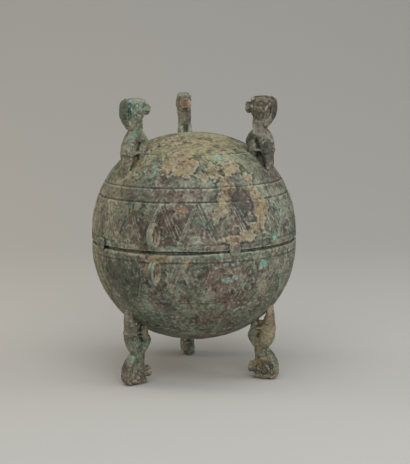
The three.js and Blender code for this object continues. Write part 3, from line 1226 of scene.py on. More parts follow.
def leg_forms():
    """The creature of one leg, upright on the wall: haunch, forelimbs, neck, head, mane and blunt muzzle."""
    haunch = stroke(
        [
            (79.3, 63, 2.4, 5.4),
            (79.2, 68, 3.2, 6.2),
            (78.9, 74, 4.4, 6.7),
            (77.6, 80, 5.9, 7.0),
            (76.9, 86, 7.1, 7.1),
            (76.2, 92, 7.6, 7.1),
            (73.8, 98, 7.6, 7.0),
            (70.4, 103.5, 7.2, 6.7),
            (69.6, 108.5, 7.2, 6.6),
            (70.8, 114, 8.0, 6.9),
            (72.4, 119, 9.0, 7.1),
        ]
    )
    belly = stroke([(69.5, 99, 6.0, 2.6), (69.5, 92, 6.2, 2.4), (70.5, 83, 5.0, 2.2)])
    knee = stroke([(75.5, 83.8, 2.8, 6.8), (71.0, 85.7, 2.0, 7.0), (66.0, 85.9, 1.9, 6.8)])
    spur = blob((83.2, 0.0, 85.6), (1.7, 4.6, 1.8))
    skull = blob((73.0, 0.0, 126.8), (10.4, 7.4, 10.2))
    crown = stroke([(66.8, 131.6, 5.3, 6.5), (73.0, 132.0, 5.4, 7.0), (79.0, 131.4, 5.4, 6.6)])
    nape = stroke(
        [(77.4, 131.4, 5.6, 6.4), (79.2, 125.4, 5.4, 6.6), (78.0, 119.2, 5.2, 6.6), (74.6, 113.4, 5.0, 6.4)]
    )
    mane = stroke(
        [
            (80.6, 134.7, 2.2, 6.2),
            (83.6, 131.8, 2.3, 6.5),
            (84.1, 126.2, 2.3, 6.7),
            (83.4, 120.6, 2.3, 6.6),
            (80.8, 115.2, 2.4, 6.2),
            (76.6, 109.8, 2.6, 5.6),
        ]
    )
    muzzle = stroke([(67.5, 126.2, 5.6, 5.8), (62.5, 126.3, 5.2, 5.5), (57.2, 126.1, 5.6, 6.3)], ends=0.15)
    chin = stroke([(67.5, 121.6, 4.0, 5.4), (64.6, 120.6, 3.2, 4.8)])
    forms = [haunch, belly, knee, spur, skull, crown, nape, mane, muzzle, chin]
    forms += both_sides(
        [
            (66.5, 101.2, 5.2, 3.0),
            (63.0, 97.6, 4.6, 2.8),
            (61.6, 93.6, 4.7, 2.7),
            (63.6, 89.0, 4.3, 2.7),
            (64.2, 82.0, 3.6, 2.7),
        ],
        4.2,
    )
    forms += both_sides([(61.0, 94.6, 2.9, 2.5), (58.2, 94.9, 1.5, 1.8)], 4.1)
    forms += both_sides([(76.4, 122.6, 1.5, 1.0), (80.0, 126.0, 1.9, 1.2), (81.6, 129.8, 1.2, 0.9)], 6.6)
    forms += both_sides([(63.6, 134.0, 1.7, 1.6), (67.6, 133.2, 1.8, 1.5), (72.0, 134.6, 1.5, 1.2)], 5.2)
    for side in (-1, 1):
        forms.append(blob((73.4, side * 6.6, 129.2), (1.9, 1.5, 1.9)))
    return forms


def along_line(points, line):
    """The distance of each point from a line of straight steps through the given places."""
    line = np.asarray(line, float)
    nearest = np.full(len(points), 1e9)
    for start, end in zip(line[:-1], line[1:]):
        step = end - start
        share = np.clip((points - start) @ step / max(step @ step, 1e-9), 0, 1)
        away = np.linalg.norm(points - start - share[:, None] * step, axis=1)
        nearest = np.minimum(nearest, away)
    return nearest


CURVE_STEPS = 24
VOLUTE_STEPS = 30

# A volute's radius at its middle, as a share taken from its outer radius
VOLUTE_CLOSING = 0.82


def curved(places):
    return through(places, np.linspace(0, 1, CURVE_STEPS))


def volute(centre, radius, turns, start, way, aside):
    share = np.linspace(0, 1, VOLUTE_STEPS)
    angle = start + way * share * turns * 2 * math.pi
    reach = radius * (1 - VOLUTE_CLOSING * share)
    out = centre[0] + reach * np.cos(angle)
    up = centre[1] + reach * np.sin(angle)
    return np.stack([out, np.full(VOLUTE_STEPS, aside), up], axis=1)


# Half the width of a leg at its chased lines. The mane's strands across its back: their heights, and how deep
# and wide they are cut. The notch between the mane's top and the crown: its place, depth and width
CHASED_HALF_WIDTH = 7.2
STRAND_HEIGHTS = (113.5, 117.0, 120.5, 124.0, 127.5, 131.0)
STRAND_DEPTH, STRAND_WIDTH = 0.25, 0.7
NOTCH_PLACE, NOTCH_DEPTH, NOTCH_WIDTH = (79.4, 138.0), 1.5, 1.2


def chased_lines(half):
    """The lines cut on one flank, which stands at half, each with its width and depth in millimetres."""
    lip = half * 0.7
    jaw = half * 0.8
    return [
        (curved([(79.6, half, 137), (80.9, half, 130.5), (81.0, half, 124.5), (76.4, half, 113)]), 0.9, 1.4),
        (curved([(55.4, lip, 123.4), (59.6, half * 0.68, 123.2), (64.6, jaw, 124.4)]), 0.7, 0.9),
        (curved([(65.0, jaw, 131.8), (65.6, jaw, 127), (65.2, jaw, 121)]), 0.8, 0.6),
        (curved([(65.4, half, 117.4), (70, half, 114.6), (76, half, 113.4)]), 0.9, 0.5),
        (curved([(63.4, half, 110.5), (68.4, half, 107), (75.6, half, 108.6)]), 0.9, 0.6),
        (curved([(63.8, half, 104.4), (68.6, half, 103), (75.6, half, 105.2)]), 0.8, 0.4),
        (volute((73.4, 129.2), 3.4, 0.95, 0.0, 1, half), 0.7, 0.6),
        (volute((70.6, 121.4), 3.4, 1.2, 2.2, -1, half), 0.7, 0.5),
        (volute((77.4, 91.4), 4.8, 1.35, 1.2, 1, half), 0.9, 0.6),
        (curved([(72.4, half, 78.6), (77, half, 82.0), (82.5, half, 81.0)]), 0.9, 0.5),
    ]


def carve_leg(mesh):
    """Chases the fine lines of the casting: mane strands, lips, eyelids, neck folds and shoulder scroll."""
    points = positions(mesh)
    direction = normals(mesh)
    lift = np.zeros(len(points))
    for side in (-1, 1):
        for line, width, depth in chased_lines(CHASED_HALF_WIDTH * side):
            lift -= depth * np.exp(-((along_line(points, line) / width) ** 2))
    out, up = NOTCH_PLACE
    notch = [(out, -6.5, up), (out, 6.5, up)]
    lift -= NOTCH_DEPTH * np.exp(-((along_line(points, notch) / NOTCH_WIDTH) ** 2))
    for height in STRAND_HEIGHTS:
        line = [(80, -7.0, height + 1.4), (86.8, -3.5, height), (86.8, 3.5, height), (80, 7.0, height + 1.4)]
        lift -= STRAND_DEPTH * np.exp(-((along_line(points, line) / STRAND_WIDTH) ** 2))
    set_positions(mesh, points + direction * lift[:, None])


CASTING_SMOOTHING = 3


def leg_casting():
    """One leg as it left the mould, before age: the six legs are copies of it."""
    settings = bpy.context.scene.dui_legs
    leg = merged_forms("leg_casting", leg_forms(), settings.voxel / MM)
    set_positions(leg.data, relaxed(positions(leg.data), edge_pairs(leg.data), CASTING_SMOOTHING))
    carve_leg(leg.data)
    return leg


# How each leg has aged: share of malachite on the head, on the neck and on the haunch, of earth, of brown, of
# rust on the muzzle's end, and of dark tarnish
LEG_AGEING = {
    "lid_leg_right": (0.0, 0.0, 0.0, 0.0, 0.6, 0.0, 2.6),
    "lid_leg_front_left": (0.9, 0.65, 0.15, 0.5, 0.3, 0.0, 0.4),
    "lid_leg_rear_left": (0.1, 0.3, 0.3, 0.3, 0.3, 1.0, 0.5),
    "bowl_leg_right": (0.0, 0.05, 0.35, 1.0, 0.35, 0.8, 0.0),
    "bowl_leg_front_left": (0.0, 0.95, 0.45, 0.4, 0.7, 0.0, 0.35),
    "bowl_leg_rear_left": (0.2, 0.3, 0.3, 0.2, 0.4, 0.2, 0.4),
}


# Heights on a leg where the green of its haunch, neck and head starts and ends, in millimetres
GREEN_HEIGHTS = (70, 88, 98, 112, 118, 137)

# From here up the head is pale where the muzzle has rusted, in millimetres
PALE_HEIGHTS = (130.0, 132.5)


def leg_marks(points, height, tip, ageing):
    """Corrosion on a leg: green by its height, earth and brown in patches, rust on the muzzle's tip."""
    head, neck, haunch, earth, brown, rust, soot = ageing
    green = np.interp(height, GREEN_HEIGHTS, [haunch, haunch, neck, neck, head, head])
    broken = layered_noise(points, [(0.5, 7.0, 51, 3), (0.15, 2.2, 52, 2)], green)
    earthy = ramp(layered_noise(points, [(1.0, 8.0, 53, 3)], 0.3 * earth), -0.1, 0.4)
    brownish = ramp(layered_noise(points, [(1.0, 11.0, 54, 3)], 0.6 * brown), -0.1, 0.4)
    rusty = ramp(noise(points, 6.0, 56, 2), 0.3, 0.6)
    pale = ramp(noise(points, 5.0, 57, 3), 0.2, 0.6)
    return {
        "malachite": np.clip(broken, 0, 1) * np.sqrt(np.clip(green, 0, 1)),
        "earth": np.clip(earth * earthy, 0, 1),
        "cuprite": np.clip(brown * brownish, 0, 1),
        "turquoise": 0.35 * head * ramp(noise(points, 4.0, 55, 2), 0.4, 0.8),
        "ochre": np.maximum(0.6 * earth * rusty, rust * tip),
        "chalk": np.maximum(0.5 * pale, rust * ramp(height, *PALE_HEIGHTS)),
        "dark": soot * ramp(noise(points, 10.0, 58, 3), -0.1, 0.5),
    }


# On the casting, in millimetres: how far out the muzzle's tip and the mane's back start and are full, how
# high the head starts, and the heights where the mane's back starts and is full
TIP_OUT = (59.4, 57.6)
HEAD_HEIGHT = 118
MANE_OUT = (82.6, 84.6)
MANE_HEIGHTS = (108.0, 113.0)

# How deep the roots are seated in the wall, in millimetres, and the tries it takes to seat them
SEAT_DEPTH = 1.3
SEAT_TRIES = 3

# Corrosion of the legs: each layer's share of its height, its size in millimetres, its seed and octaves, and
# the share of the pits
LEG_ROUGHNESS = [(0.6, 6.0, 61, 2), (0.55, 2.0, 62, 2)]
LEG_PITS = 0.5
MANE_DARK_LID, MANE_DARK_BOWL = 1.2, 0.3


def place_leg(casting, name, turn, lean, on_lid, material):
    """Copies the casting to its place, seats its roots in the wall, leans it as found, and corrodes it."""
    settings = bpy.context.scene.dui_legs
    leg = new_object(f"dui_{name}", casting.data.copy())
    mesh = leg.data
    points = positions(mesh)
    tip = ramp(points[:, 0], *TIP_OUT) * (points[:, 2] > HEAD_HEIGHT)
    mane_back = ramp(points[:, 0], *MANE_OUT) * ramp(points[:, 2], *MANE_HEIGHTS)
    points[:, 0] += lean / (LEAN_FULL - LEAN_START) * (points[:, 2] - LEAN_START)
    height = points[:, 2].copy()
    if on_lid:
        points[:, 2] += LID_LEG_LIFT
    top = LEG_TOP + (LID_LEG_LIFT if on_lid else 0.0)
    rise = LID_RISE if on_lid else BOWL_DEPTH
    for _ in range(SEAT_TRIES):
        sunk = np.maximum(wall_depth(points, BODY_RADIUS, rise) - SEAT_DEPTH, 0.0)
        points += wall_normals(points, BODY_RADIUS, rise) * sunk[:, None]
    way = 1.0 if on_lid else -1.0
    cosine, sine = math.cos(math.radians(turn)), math.sin(math.radians(turn))
    out, across = points[:, 0].copy(), points[:, 1] * way
    points[:, 0], points[:, 1] = out * cosine - across * sine, out * sine + across * cosine
    points[:, 2] *= way
    set_positions(mesh, points)
    rough = layered_noise(points, LEG_ROUGHNESS)
    rough -= LEG_PITS * ramp(noise(points, PIT_SIZE, 63), 0.6, 0.9)
    points = points + normals(mesh) * (rough * settings.corrosion / MM)[:, None]
    points[:, 2] = way * np.minimum(way * points[:, 2], top)
    set_positions(mesh, points)
    marks = leg_marks(points, height, tip, LEG_AGEING[name])
    mane_dark = MANE_DARK_LID if on_lid else MANE_DARK_BOWL
    marks["dark"] = np.maximum(marks["dark"], mane_dark * mane_back)
    marks["cavity"] = cavity(mesh, passes=10, full=0.3)
    mesh.transform(Matrix.Translation((0, 0, RIM_HEIGHT * MM)))
    finish_piece(leg, [name], material, marks)


# The ring lugs


# The rounding of a ring's edges, and its outer channel's half width and depth, in millimetres
RING_CORNER = 1.0
CHANNEL_HALF_WIDTH = 0.4
CHANNEL_DEPTH = 0.7


def ring_section(width, thickness):
    """A ring cut across: rounded edges, with a shallow channel between them on the outer side."""
    half, back = width / 2, thickness / 2
    outline = [
        (-half + RING_CORNER, -back),
        (half - RING_CORNER, -back),
        (half, -back + RING_CORNER),
        (half, back - RING_CORNER),
        (half - RING_CORNER, back),
        (CHANNEL_HALF_WIDTH, back - CHANNEL_DEPTH),
        (-CHANNEL_HALF_WIDTH, back - CHANNEL_DEPTH),
        (-half + RING_CORNER, back),
        (-half, back - RING_CORNER),
        (-half, -back + RING_CORNER),
    ]
    curve = bpy.data.curves.new("ring_section", "CURVE")
    curve.dimensions = "2D"
    spline = curve.splines.new("POLY")
    spline.points.add(len(outline) - 1)
    for point, (x, y) in zip(spline.points, outline):
        point.co = (x * MM, y * MM, 0.0, 1.0)
    spline.use_cyclic_u = True
    return new_object("ring_section", curve)


LUG_SOCKETS = {
    "Section": "Object",
    "Centre": "Float",
    "Reach": "Float",
    "Middle": "Float",
    "Half height": "Float",
    "Point": "Float",
    "Taper": "Float",
    "Way": "Float",
    "Turn": "Float",
    "Finish": "Material",
}

# The ring's sums. The flat circle's X becomes the height and its Y the distance out from the axis
FAR_SUMS = (("far", "MAXIMUM", "X", 0.0), ("far squared", "POWER", "far", 2.0))
PLACE_SUMS = (
    ("reached", "MULTIPLY", "Y", "Reach"),
    ("drawn", "MULTIPLY", "reached", "drawn in"),
    ("out", "ADD", "drawn", "Centre"),
    ("tall", "MULTIPLY", "X", "Half height"),
    ("tall way", "MULTIPLY", "tall", "Way"),
    ("up", "ADD", "tall way", "Middle"),
)
RING_STEPS = 72
TAPER_START = 0.3


def lug_tree():
    """Sweeps the section round an upright ring, draws its far end in to a point, and turns it into place."""
    tree = new_tree("ring_lug", LUG_SOCKETS)
    given = add_node(tree, "NodeGroupInput").outputs
    circle = add_node(
        tree, "GeometryNodeCurvePrimitiveCircle", {"Resolution": RING_STEPS, "Radius": 1.0}, mode="RADIUS"
    )
    here = add_node(tree, "GeometryNodeInputPosition")
    axes = add_node(tree, "ShaderNodeSeparateXYZ", {0: here.outputs[0]}).outputs
    values = {socket.name: socket for socket in (*given, *axes)}
    for result, operation, first, second in FAR_SUMS:
        taken = {0: values.get(first, first), 1: values.get(second, second)}
        values[result] = add_node(tree, "ShaderNodeMath", taken, operation=operation).outputs[0]
    far_marked = add_node(
        tree,
        "GeometryNodeStoreNamedAttribute",
        {"Geometry": circle.outputs["Curve"], "Name": "far", "Value": values["far squared"]},
    )
    values["drawn in"] = add_node(
        tree,
        "ShaderNodeMapRange",
        {
            "Value": values["far squared"],
            "From Min": 0.0,
            "From Max": 1.0,
            "To Min": 1.0,
            "To Max": given["Point"],
        },
    ).outputs["Result"]
    for result, operation, first, second in PLACE_SUMS:
        taken = {0: values[first], 1: values[second]}
        values[result] = add_node(tree, "ShaderNodeMath", taken, operation=operation).outputs[0]
    place = add_node(tree, "ShaderNodeCombineXYZ", {"X": values["out"], "Z": values["up"]})
    stood = add_node(
        tree, "GeometryNodeSetPosition", {"Geometry": far_marked.outputs[0], "Position": place.outputs[0]}
    )
    section = add_node(tree, "GeometryNodeObjectInfo", {"Object": given["Section"]})
    far = add_node(tree, "GeometryNodeInputNamedAttribute", {"Name": "far"}, data_type="FLOAT")
    taper = add_node(
        tree,
        "ShaderNodeMapRange",
        {
            "Value": far.outputs["Attribute"],
            "From Min": TAPER_START,
            "From Max": 1.0,
            "To Min": 1.0,
            "To Max": given["Taper"],
        },
    )
    swept = add_node(
        tree,
        "GeometryNodeCurveToMesh",
        {
            "Curve": stood.outputs[0],
            "Profile Curve": section.outputs["Geometry"],
            "Scale": taper.outputs[0],
            "Fill Caps": False,
        },
    )
    about = add_node(tree, "ShaderNodeCombineXYZ", {"Z": given["Turn"]})
    turned = add_node(
        tree, "GeometryNodeTransform", {"Geometry": swept.outputs[0], "Rotation": about.outputs[0]}
    )
    real = add_node(tree, "GeometryNodeRealizeInstances", {"Geometry": turned.outputs[0]})
    done = add_node(
        tree, "GeometryNodeSetMaterial", {"Geometry": real.outputs[0], "Material": given["Finish"]}
    )
    add_node(tree, "NodeGroupOutput", {"Geometry": done.outputs[0]})
    return tree


# A ring's voxel in millimetres, the height on a leg whose green it takes, and its ageing in a leg's terms
LUG_VOXEL = 0.45
LUG_SMOOTHING = 3
LUG_LEVEL = 120.0
LUG_AGEING = (0.45, 0.3, 0.3, 0.5, 0.3, 0.55, 0.3)

# Distances from the axis, in millimetres, where the rust by the wall and the green of the outer side start
# and are full, and the distances from the seam where the paler far end does
LUG_RUST_OUT = (113.0, 106.0)
LUG_GREEN_OUT = (112.0, 116.5)
LUG_PALE_REACH = (19.0, 27.0)

# Corrosion of the rings: each layer's height and size in millimetres, seed and octaves, and the pits' depth
LUG_ROUGHNESS = [(0.22, 4.0, 71, 2), (0.16, 1.6, 72, 1)]
LUG_PIT_DEPTH = 0.35


def make_lug(name, tree, section, shape, turn, material):
    settings = bpy.context.scene.dui_lugs
    middle, half_height, point, taper, way = shape
    lug = new_object(f"dui_{name}", bpy.data.meshes.new(name))
    run_tree(
        lug,
        tree,
        {
            "Section": section,
            "Centre": LUG_CENTRE * MM,
            "Reach": settings.reach - settings.ring_thickness / 2,
            "Middle": middle * MM,
            "Half height": half_height * MM - settings.ring_thickness / 2,
            "Point": point,
            "Taper": taper,
            "Way": way,
            "Turn": math.radians(turn),
            "Finish": material,
        },
    )
    melt(lug, LUG_VOXEL)
    mesh = lug.data
    points = relaxed(positions(mesh), edge_pairs(mesh), LUG_SMOOTHING)
    rough = layered_noise(points, LUG_ROUGHNESS)
    rough -= LUG_PIT_DEPTH * ramp(noise(points, 2.4, 73), 0.6, 0.85)
    points = points + normals(mesh) * rough[:, None]
    set_positions(mesh, points)
    out = np.hypot(points[:, 0], points[:, 1])
    level = np.full(len(points), LUG_LEVEL)
    marks = leg_marks(points, level, ramp(out, *LUG_RUST_OUT), LUG_AGEING)
    marks["malachite"] = np.maximum(marks["malachite"], 0.9 * ramp(out, *LUG_GREEN_OUT))
    marks["chalk"] = np.maximum(marks["chalk"], 0.55 + 0.2 * ramp(way * points[:, 2], *LUG_PALE_REACH))
    marks["cavity"] = cavity(mesh, passes=12, full=0.4)
    mesh.transform(Matrix.Translation((0, 0, RIM_HEIGHT * MM)))
    finish_piece(lug, [name], material, marks)


# Finishes


def per_mm(size):
    """The scale of a texture on metre coordinates whose features are this many millimetres."""
    return 1 / (size * MM)


# The corrosion's noise: the size of its features in millimetres, its detail and its distortion
CLOUDS = {
    "broad": (30.0, 4.0, 0.6),
    "shade": (13.0, 3.0, 0.8),
    "middle": (7.5, 5.0, 0.8),
    "fine": (2.6, 4.0, 0.0),
    "tight": (1.7, 3.0, 0.0),
    "grain": (1.2, 2.0, 0.0),
}
CLOUD_ROUGHNESS = 0.6

# The marks that the pieces carry
MARKS = (
    "earth", "cuprite", "ochre", "malachite", "turquoise", "chalk", "silt", "dark", "cavity", "thread"
)

# Layers over all that is below: colour, noise, where in the noise it starts and is full, and how thick it is.
# The first are the tones inside the crust, and the second are laid over every corrosion
CRUST_TONES = (
    ("ochre", "broad", 0.5, 0.7, 0.55),
    ("olive", "fine", 0.53, 0.66, 0.7),
    ("umber", "middle", 0.5, 0.4, 0.35),
)
CONTRASTS = (
    ("chalk", "grain", 0.6, 0.72, 0.25),
    ("shadow", "tight", 0.5, 0.34, 0.32),
    ("chalk", "tight", 0.56, 0.7, 0.22),
    ("shadow", "shade", 0.52, 0.32, 0.7),
    ("chalk", "shade", 0.54, 0.72, 0.4),
)

# Where in the noise the second of two tones starts and is full, and where in a broken mark its corrosion is
TWO_TONES = (0.42, 0.6)
PATCH_SHARE = (0.22, 0.85)

# The roughness of the tight layer and of the crust, and how far the tight layer answers light as metal does
TIGHT_ROUGHNESS = 0.55
CRUST_ROUGHNESS = 0.95
TIGHT_METAL = 0.15

# The finest relief, in millimetres
BUMP_DISTANCE = 0.6


def lay(tree, below, above, share, low=0.0, high=1.0, cover=1.0):
    """Lays one colour over another where share rises from low to high, as thick as cover."""
    thickness = add_node(
        tree,
        "ShaderNodeMapRange",
        {"Value": share, "From Min": low, "From Max": high, "To Min": 0.0, "To Max": cover},
    )
    mixed = add_node(
        tree,
        "ShaderNodeMix",
        {0: thickness.outputs["Result"], 6: below, 7: above},
        data_type="RGBA",
        clamp_factor=True,
    )
    return mixed.outputs[2]


def lay_patch(tree, below, above, mark, noise_share, cover, ragged=1.6):
    """Lays a corrosion over its mark: dense in the middle, and broken up by the noise at its edge."""
    rough = add_node(
        tree, "ShaderNodeMath", {0: noise_share, 1: ragged, 2: -0.5 * ragged}, operation="MULTIPLY_ADD"
    )
    broken = add_node(tree, "ShaderNodeMath", {0: mark, 1: rough.outputs[0]}, operation="ADD")
    return lay(tree, below, above, broken.outputs[0], *PATCH_SHARE, cover)


def patina_material(name, brown_share):
    """Cast tin bronze after long burial: layers of mineral corrosion, so the eye meets no bare metal.

    A tight dark olive layer lies under mottled grey-green carbonate, with cuprite brown, malachite, buff
    earth and chloride spots on it. It is matt, with a faint sheen where the tight layer shows. Hollows take
    dark tarnish and painted shade, and raised points pale bloom and a painted highlight.
    """
    settings = bpy.context.scene.dui_patina
    colours = {tone: tuple(getattr(settings, tone)) for tone in DuiPatinaSettings.__annotations__}
    material = bpy.data.materials.new(name)
    material.use_nodes = True
    tree = material.node_tree
    tree.nodes.clear()
    place = add_node(tree, "ShaderNodeTexCoord").outputs["Object"]
    clouds, marks, mixes = {}, {}, {}
    for label, (size, detail, distortion) in CLOUDS.items():
        inputs = {
            "Vector": place,
            "Scale": per_mm(size),
            "Detail": detail,
            "Roughness": CLOUD_ROUGHNESS,
            "Distortion": distortion,
        }
        clouds[label] = add_node(tree, "ShaderNodeTexNoise", inputs).outputs["Fac"]
    for label in MARKS:
        marks[label] = add_node(tree, "ShaderNodeAttribute", attribute_name=label).outputs["Fac"]
    fine, middle, grain = clouds["fine"], clouds["middle"], clouds["grain"]

    # Sums of noise and marks: what is taken, how much of it, and what it is added to
    sums = {
        "mottle": (fine, 0.7, middle),
        "crust edge": (fine, 0.5, (middle, 0.5)),
        "hollow_tarnish_and_shade": (marks["earth"], 0.25, marks["cavity"]),
        "pits": (fine, 0.5, grain),
        "relief": (fine, 0.6, (grain, 0.4)),
    }
    for label, (taken, share, added) in sums.items():
        if isinstance(added, tuple):
            lessened = add_node(tree, "ShaderNodeMath", {0: added[0], 1: added[1]}, operation="MULTIPLY")
            added = lessened.outputs[0]
        mixes[label] = add_node(
            tree, "ShaderNodeMath", {0: taken, 1: share, 2: added}, operation="MULTIPLY_ADD"
        ).outputs[0]

    # Where a layer is thinned by a noise: the noise, where it starts and is full, and how thick it is there
    thinnings = {
        "brown": (fine, 0.35, 0.6, 0.5 * brown_share, brown_share),
        "film": (middle, 0.36, 0.52, 0.45, 0.9),
        "thread": (fine, 0.4, 0.58, 0.15, 0.8),
        "high": (fine, 0.36, 0.6, 0.0, 0.7),
    }
    covers = {}
    for label, (cloud, low, high, least, most) in thinnings.items():
        covers[label] = add_node(
            tree,
            "ShaderNodeMapRange",
            {"Value": cloud, "From Min": low, "From Max": high, "To Min": least, "To Max": most},
        ).outputs["Result"]

    colour = lay(tree, colours["olive"], colours["sage"], mixes["mottle"], 0.68, 1.04)
    brown = lay(tree, colours["cuprite"], colours["umber"], fine, *TWO_TONES)
    colour = lay(tree, colour, brown, clouds["broad"], 0.45, 0.62, covers["brown"])
    colour = lay_patch(tree, colour, brown, marks["cuprite"], middle, 0.9)
    green = lay(tree, colours["malachite"], colours["sage"], middle, *TWO_TONES)
    colour = lay_patch(tree, colour, green, marks["malachite"], fine, 0.78)
    colour = lay_patch(tree, colour, colours["chalk"], marks["chalk"], fine, 0.55)
    film = lay(tree, colours["silt"], colours["loam"], fine, *TWO_TONES)
    colour = lay(tree, colour, film, marks["silt"], cover=covers["film"])
    rust = lay(tree, colours["ochre"], colours["earth"], fine, *TWO_TONES)
    colour = lay_patch(tree, colour, rust, marks["ochre"], fine, 0.85)
    crust = lay(tree, colours["earth"], colours["loam"], middle, *TWO_TONES)
    for tone, cloud, low, high, cover in CRUST_TONES:
        crust = lay(tree, crust, colours[tone], clouds[cloud], low, high, cover)
    colour = lay_patch(tree, colour, crust, marks["earth"], mixes["crust edge"], 0.88, ragged=1.1)
    colour = lay_patch(tree, colour, colours["turquoise"], marks["turquoise"], fine, 0.85)
    for tone, cloud, low, high, cover in CONTRASTS:
        colour = lay(tree, colour, colours[tone], clouds[cloud], low, high, cover)
    colour = lay(tree, colour, colours["chalk"], marks["thread"], cover=covers["thread"])
    # Dark tarnish and painted shade in hollows and creases, where the cavity mark is low
    colour = lay(tree, colour, colours["shadow"], mixes["hollow_tarnish_and_shade"], -0.1, -1.0, 0.95)
    colour = lay(tree, colour, colours["shadow"], mixes["pits"], 0.66, 0.5, 0.4)
    # Pale bloom and painted highlight on raised points, where the cavity mark is high
    colour = lay(tree, colour, colours["chalk"], marks["cavity"], 0.12, 0.8, covers["high"])
    # The dark mark: tarnish, and painted shade in the seam's gap and painted shadows beside the front rings
    colour = lay(tree, colour, colours["shadow"], marks["dark"], cover=0.6)

    bump = add_node(
        tree,
        "ShaderNodeBump",
        {"Strength": 0.9, "Distance": BUMP_DISTANCE * MM, "Height": mixes["relief"]},
    )
    crusted = add_node(
        tree, "ShaderNodeMath", {0: marks["earth"], 1: marks["malachite"]}, operation="MAXIMUM"
    ).outputs[0]
    rough = add_node(tree, "ShaderNodeMath", {0: fine, 1: crusted}, operation="ADD")
    sheen = {"Value": crusted, "From Min": 0.5, "From Max": 0.0, "To Min": 0.0, "To Max": TIGHT_METAL}
    matt = {
        "Value": rough.outputs[0],
        "From Min": 0.4,
        "From Max": 1.3,
        "To Min": TIGHT_ROUGHNESS,
        "To Max": CRUST_ROUGHNESS,
    }
    shader = add_node(
        tree,
        "ShaderNodeBsdfPrincipled",
        {
            "Base Color": colour,
            "Metallic": add_node(tree, "ShaderNodeMapRange", sheen).outputs["Result"],
            "Roughness": add_node(tree, "ShaderNodeMapRange", matt).outputs["Result"],
            "Normal": bump.outputs[0],
        },
    )
    add_node(tree, "ShaderNodeOutputMaterial", {"Surface": shader.outputs[0]})
    return material


def floor_material():
    """Seamless studio paper: matt, even and pale."""
    settings = bpy.context.scene.dui_stage
    material = bpy.data.materials.new("studio_paper")
    material.use_nodes = True
    shader = material.node_tree.nodes["Principled BSDF"]
    shader.inputs["Base Color"].default_value = tuple(settings.floor_colour)
    shader.inputs["Roughness"].default_value = 0.9
    shader.inputs["Specular IOR Level"].default_value = 0.15
    return material


# Operators


class DUI_OT_bowl(bpy.types.Operator):
    """Make the bowl: a hollow half with its cast lines, pattern band and corrosion"""

    bl_idname = "dui.bowl"
    bl_label = "Bowl"

    def execute(self, context):
        material = patina_material("bowl_bronze", brown_share=0.35)
        make_half("bowl", BOWL_DEPTH, BOWL_LINES, BOWL_BAND, True, material)
        return {"FINISHED"}


class DUI_OT_lid(bpy.types.Operator):
    """Make the lid, with its clip tongues"""

    bl_idname = "dui.lid"
    bl_label = "Lid"

    def execute(self, context):
        material = patina_material("lid_bronze", brown_share=0.35)
        make_half("lid", LID_RISE, LID_LINES, LID_BAND, False, material)
        return {"FINISHED"}


class DUI_OT_legs(bpy.types.Operator):
    """Make the six creature-shaped legs from one casting"""

    bl_idname = "dui.legs"
    bl_label = "Legs"

    def execute(self, context):
        material = patina_material("leg_bronze", brown_share=0.45)
        casting = leg_casting()
        for place, turn, lid_lean, bowl_lean in LEGS:
            place_leg(casting, f"lid_leg_{place}", turn, lid_lean, True, material)
            place_leg(casting, f"bowl_leg_{place}", turn, bowl_lean, False, material)
        discard(casting)
        return {"FINISHED"}


class DUI_OT_lugs(bpy.types.Operator):
    """Make the four ring lugs beside the seam"""

    bl_idname = "dui.lugs"
    bl_label = "Lugs"

    def execute(self, context):
        settings = context.scene.dui_lugs
        material = patina_material("ring_bronze", brown_share=0.3)
        tree = lug_tree()
        section = ring_section(settings.ring_width / MM, settings.ring_thickness / MM)
        for half, shape in LUG_SHAPES.items():
            for place, turn in (("front", LUG_TURN), ("rear", LUG_TURN + 180)):
                make_lug(f"{half}_ring_{place}", tree, section, shape, turn, material)
        discard(section)
        return {"FINISHED"}


class DUI_OT_stage(bpy.types.Operator):
    """Make the pale floor, the soft lights and the camera"""

    bl_idname = "dui.stage"
    bl_label = "Stage"

    def execute(self, context):
        make_backdrop()
        make_lights()
        make_camera(context.scene.dui_stage)
        return {"FINISHED"}


# The backdrop, in metres: how far the floor reaches behind and before the middle, the radius of its bend, its
# width and its height
FLOOR_BACK, FLOOR_FRONT = 0.7, 1.6
BEND_RADIUS = 1.6
BACKDROP_WIDTH = 5.0
BACKDROP_TOP = 3.0
BEND_STEPS = 24


def make_backdrop():
    """A floor that curves up into a backdrop, square to the camera."""
    settings = bpy.context.scene.dui_stage
    outline = [(-FLOOR_FRONT, 0.0), (FLOOR_BACK, 0.0)]
    for step in range(1, BEND_STEPS + 1):
        angle = math.pi / 2 * step / BEND_STEPS
        outline.append((FLOOR_BACK + BEND_RADIUS * math.sin(angle), BEND_RADIUS * (1 - math.cos(angle))))
    outline.append((FLOOR_BACK + BEND_RADIUS, BACKDROP_TOP))
    points = [(side * BACKDROP_WIDTH / 2, away, up) for away, up in outline for side in (-1, 1)]
    faces = [(2 * k, 2 * k + 1, 2 * k + 3, 2 * k + 2) for k in range(len(outline) - 1)]
    mesh = bpy.data.meshes.new("backdrop")
    mesh.from_pydata(points, [], faces)
    mesh.transform(Matrix.Rotation(settings.azimuth, 4, "Z"))
    mesh.materials.append(floor_material())
    mesh.shade_smooth()
    new_object("backdrop", mesh)


# Square soft boxes, placed for a camera on -Y: name, place, what it faces, size in metres, watts and colour
VESSEL_MIDDLE = (0.0, 0.0, 0.13)
LIGHTS = (
    ("overhead", (-0.1, -0.75, 1.6), VESSEL_MIDDLE, 1.7, 16.5, "#ffffff"),
    ("front_fill", (0.55, -1.6, 0.7), VESSEL_MIDDLE, 1.3, 9.2, "#ffffff"),
    ("right_fill", (1.4, -0.3, 0.8), VESSEL_MIDDLE, 1.0, 7.0, "#ffffff"),
    ("left_glow", (-1.25, 0.25, 0.4), (-0.55, 0.75, 0.0), 0.6, 6.0, "#ffe4bc"),
)
SURROUND_COLOUR = "#e8ebee"
SURROUND_STRENGTH = 0.36


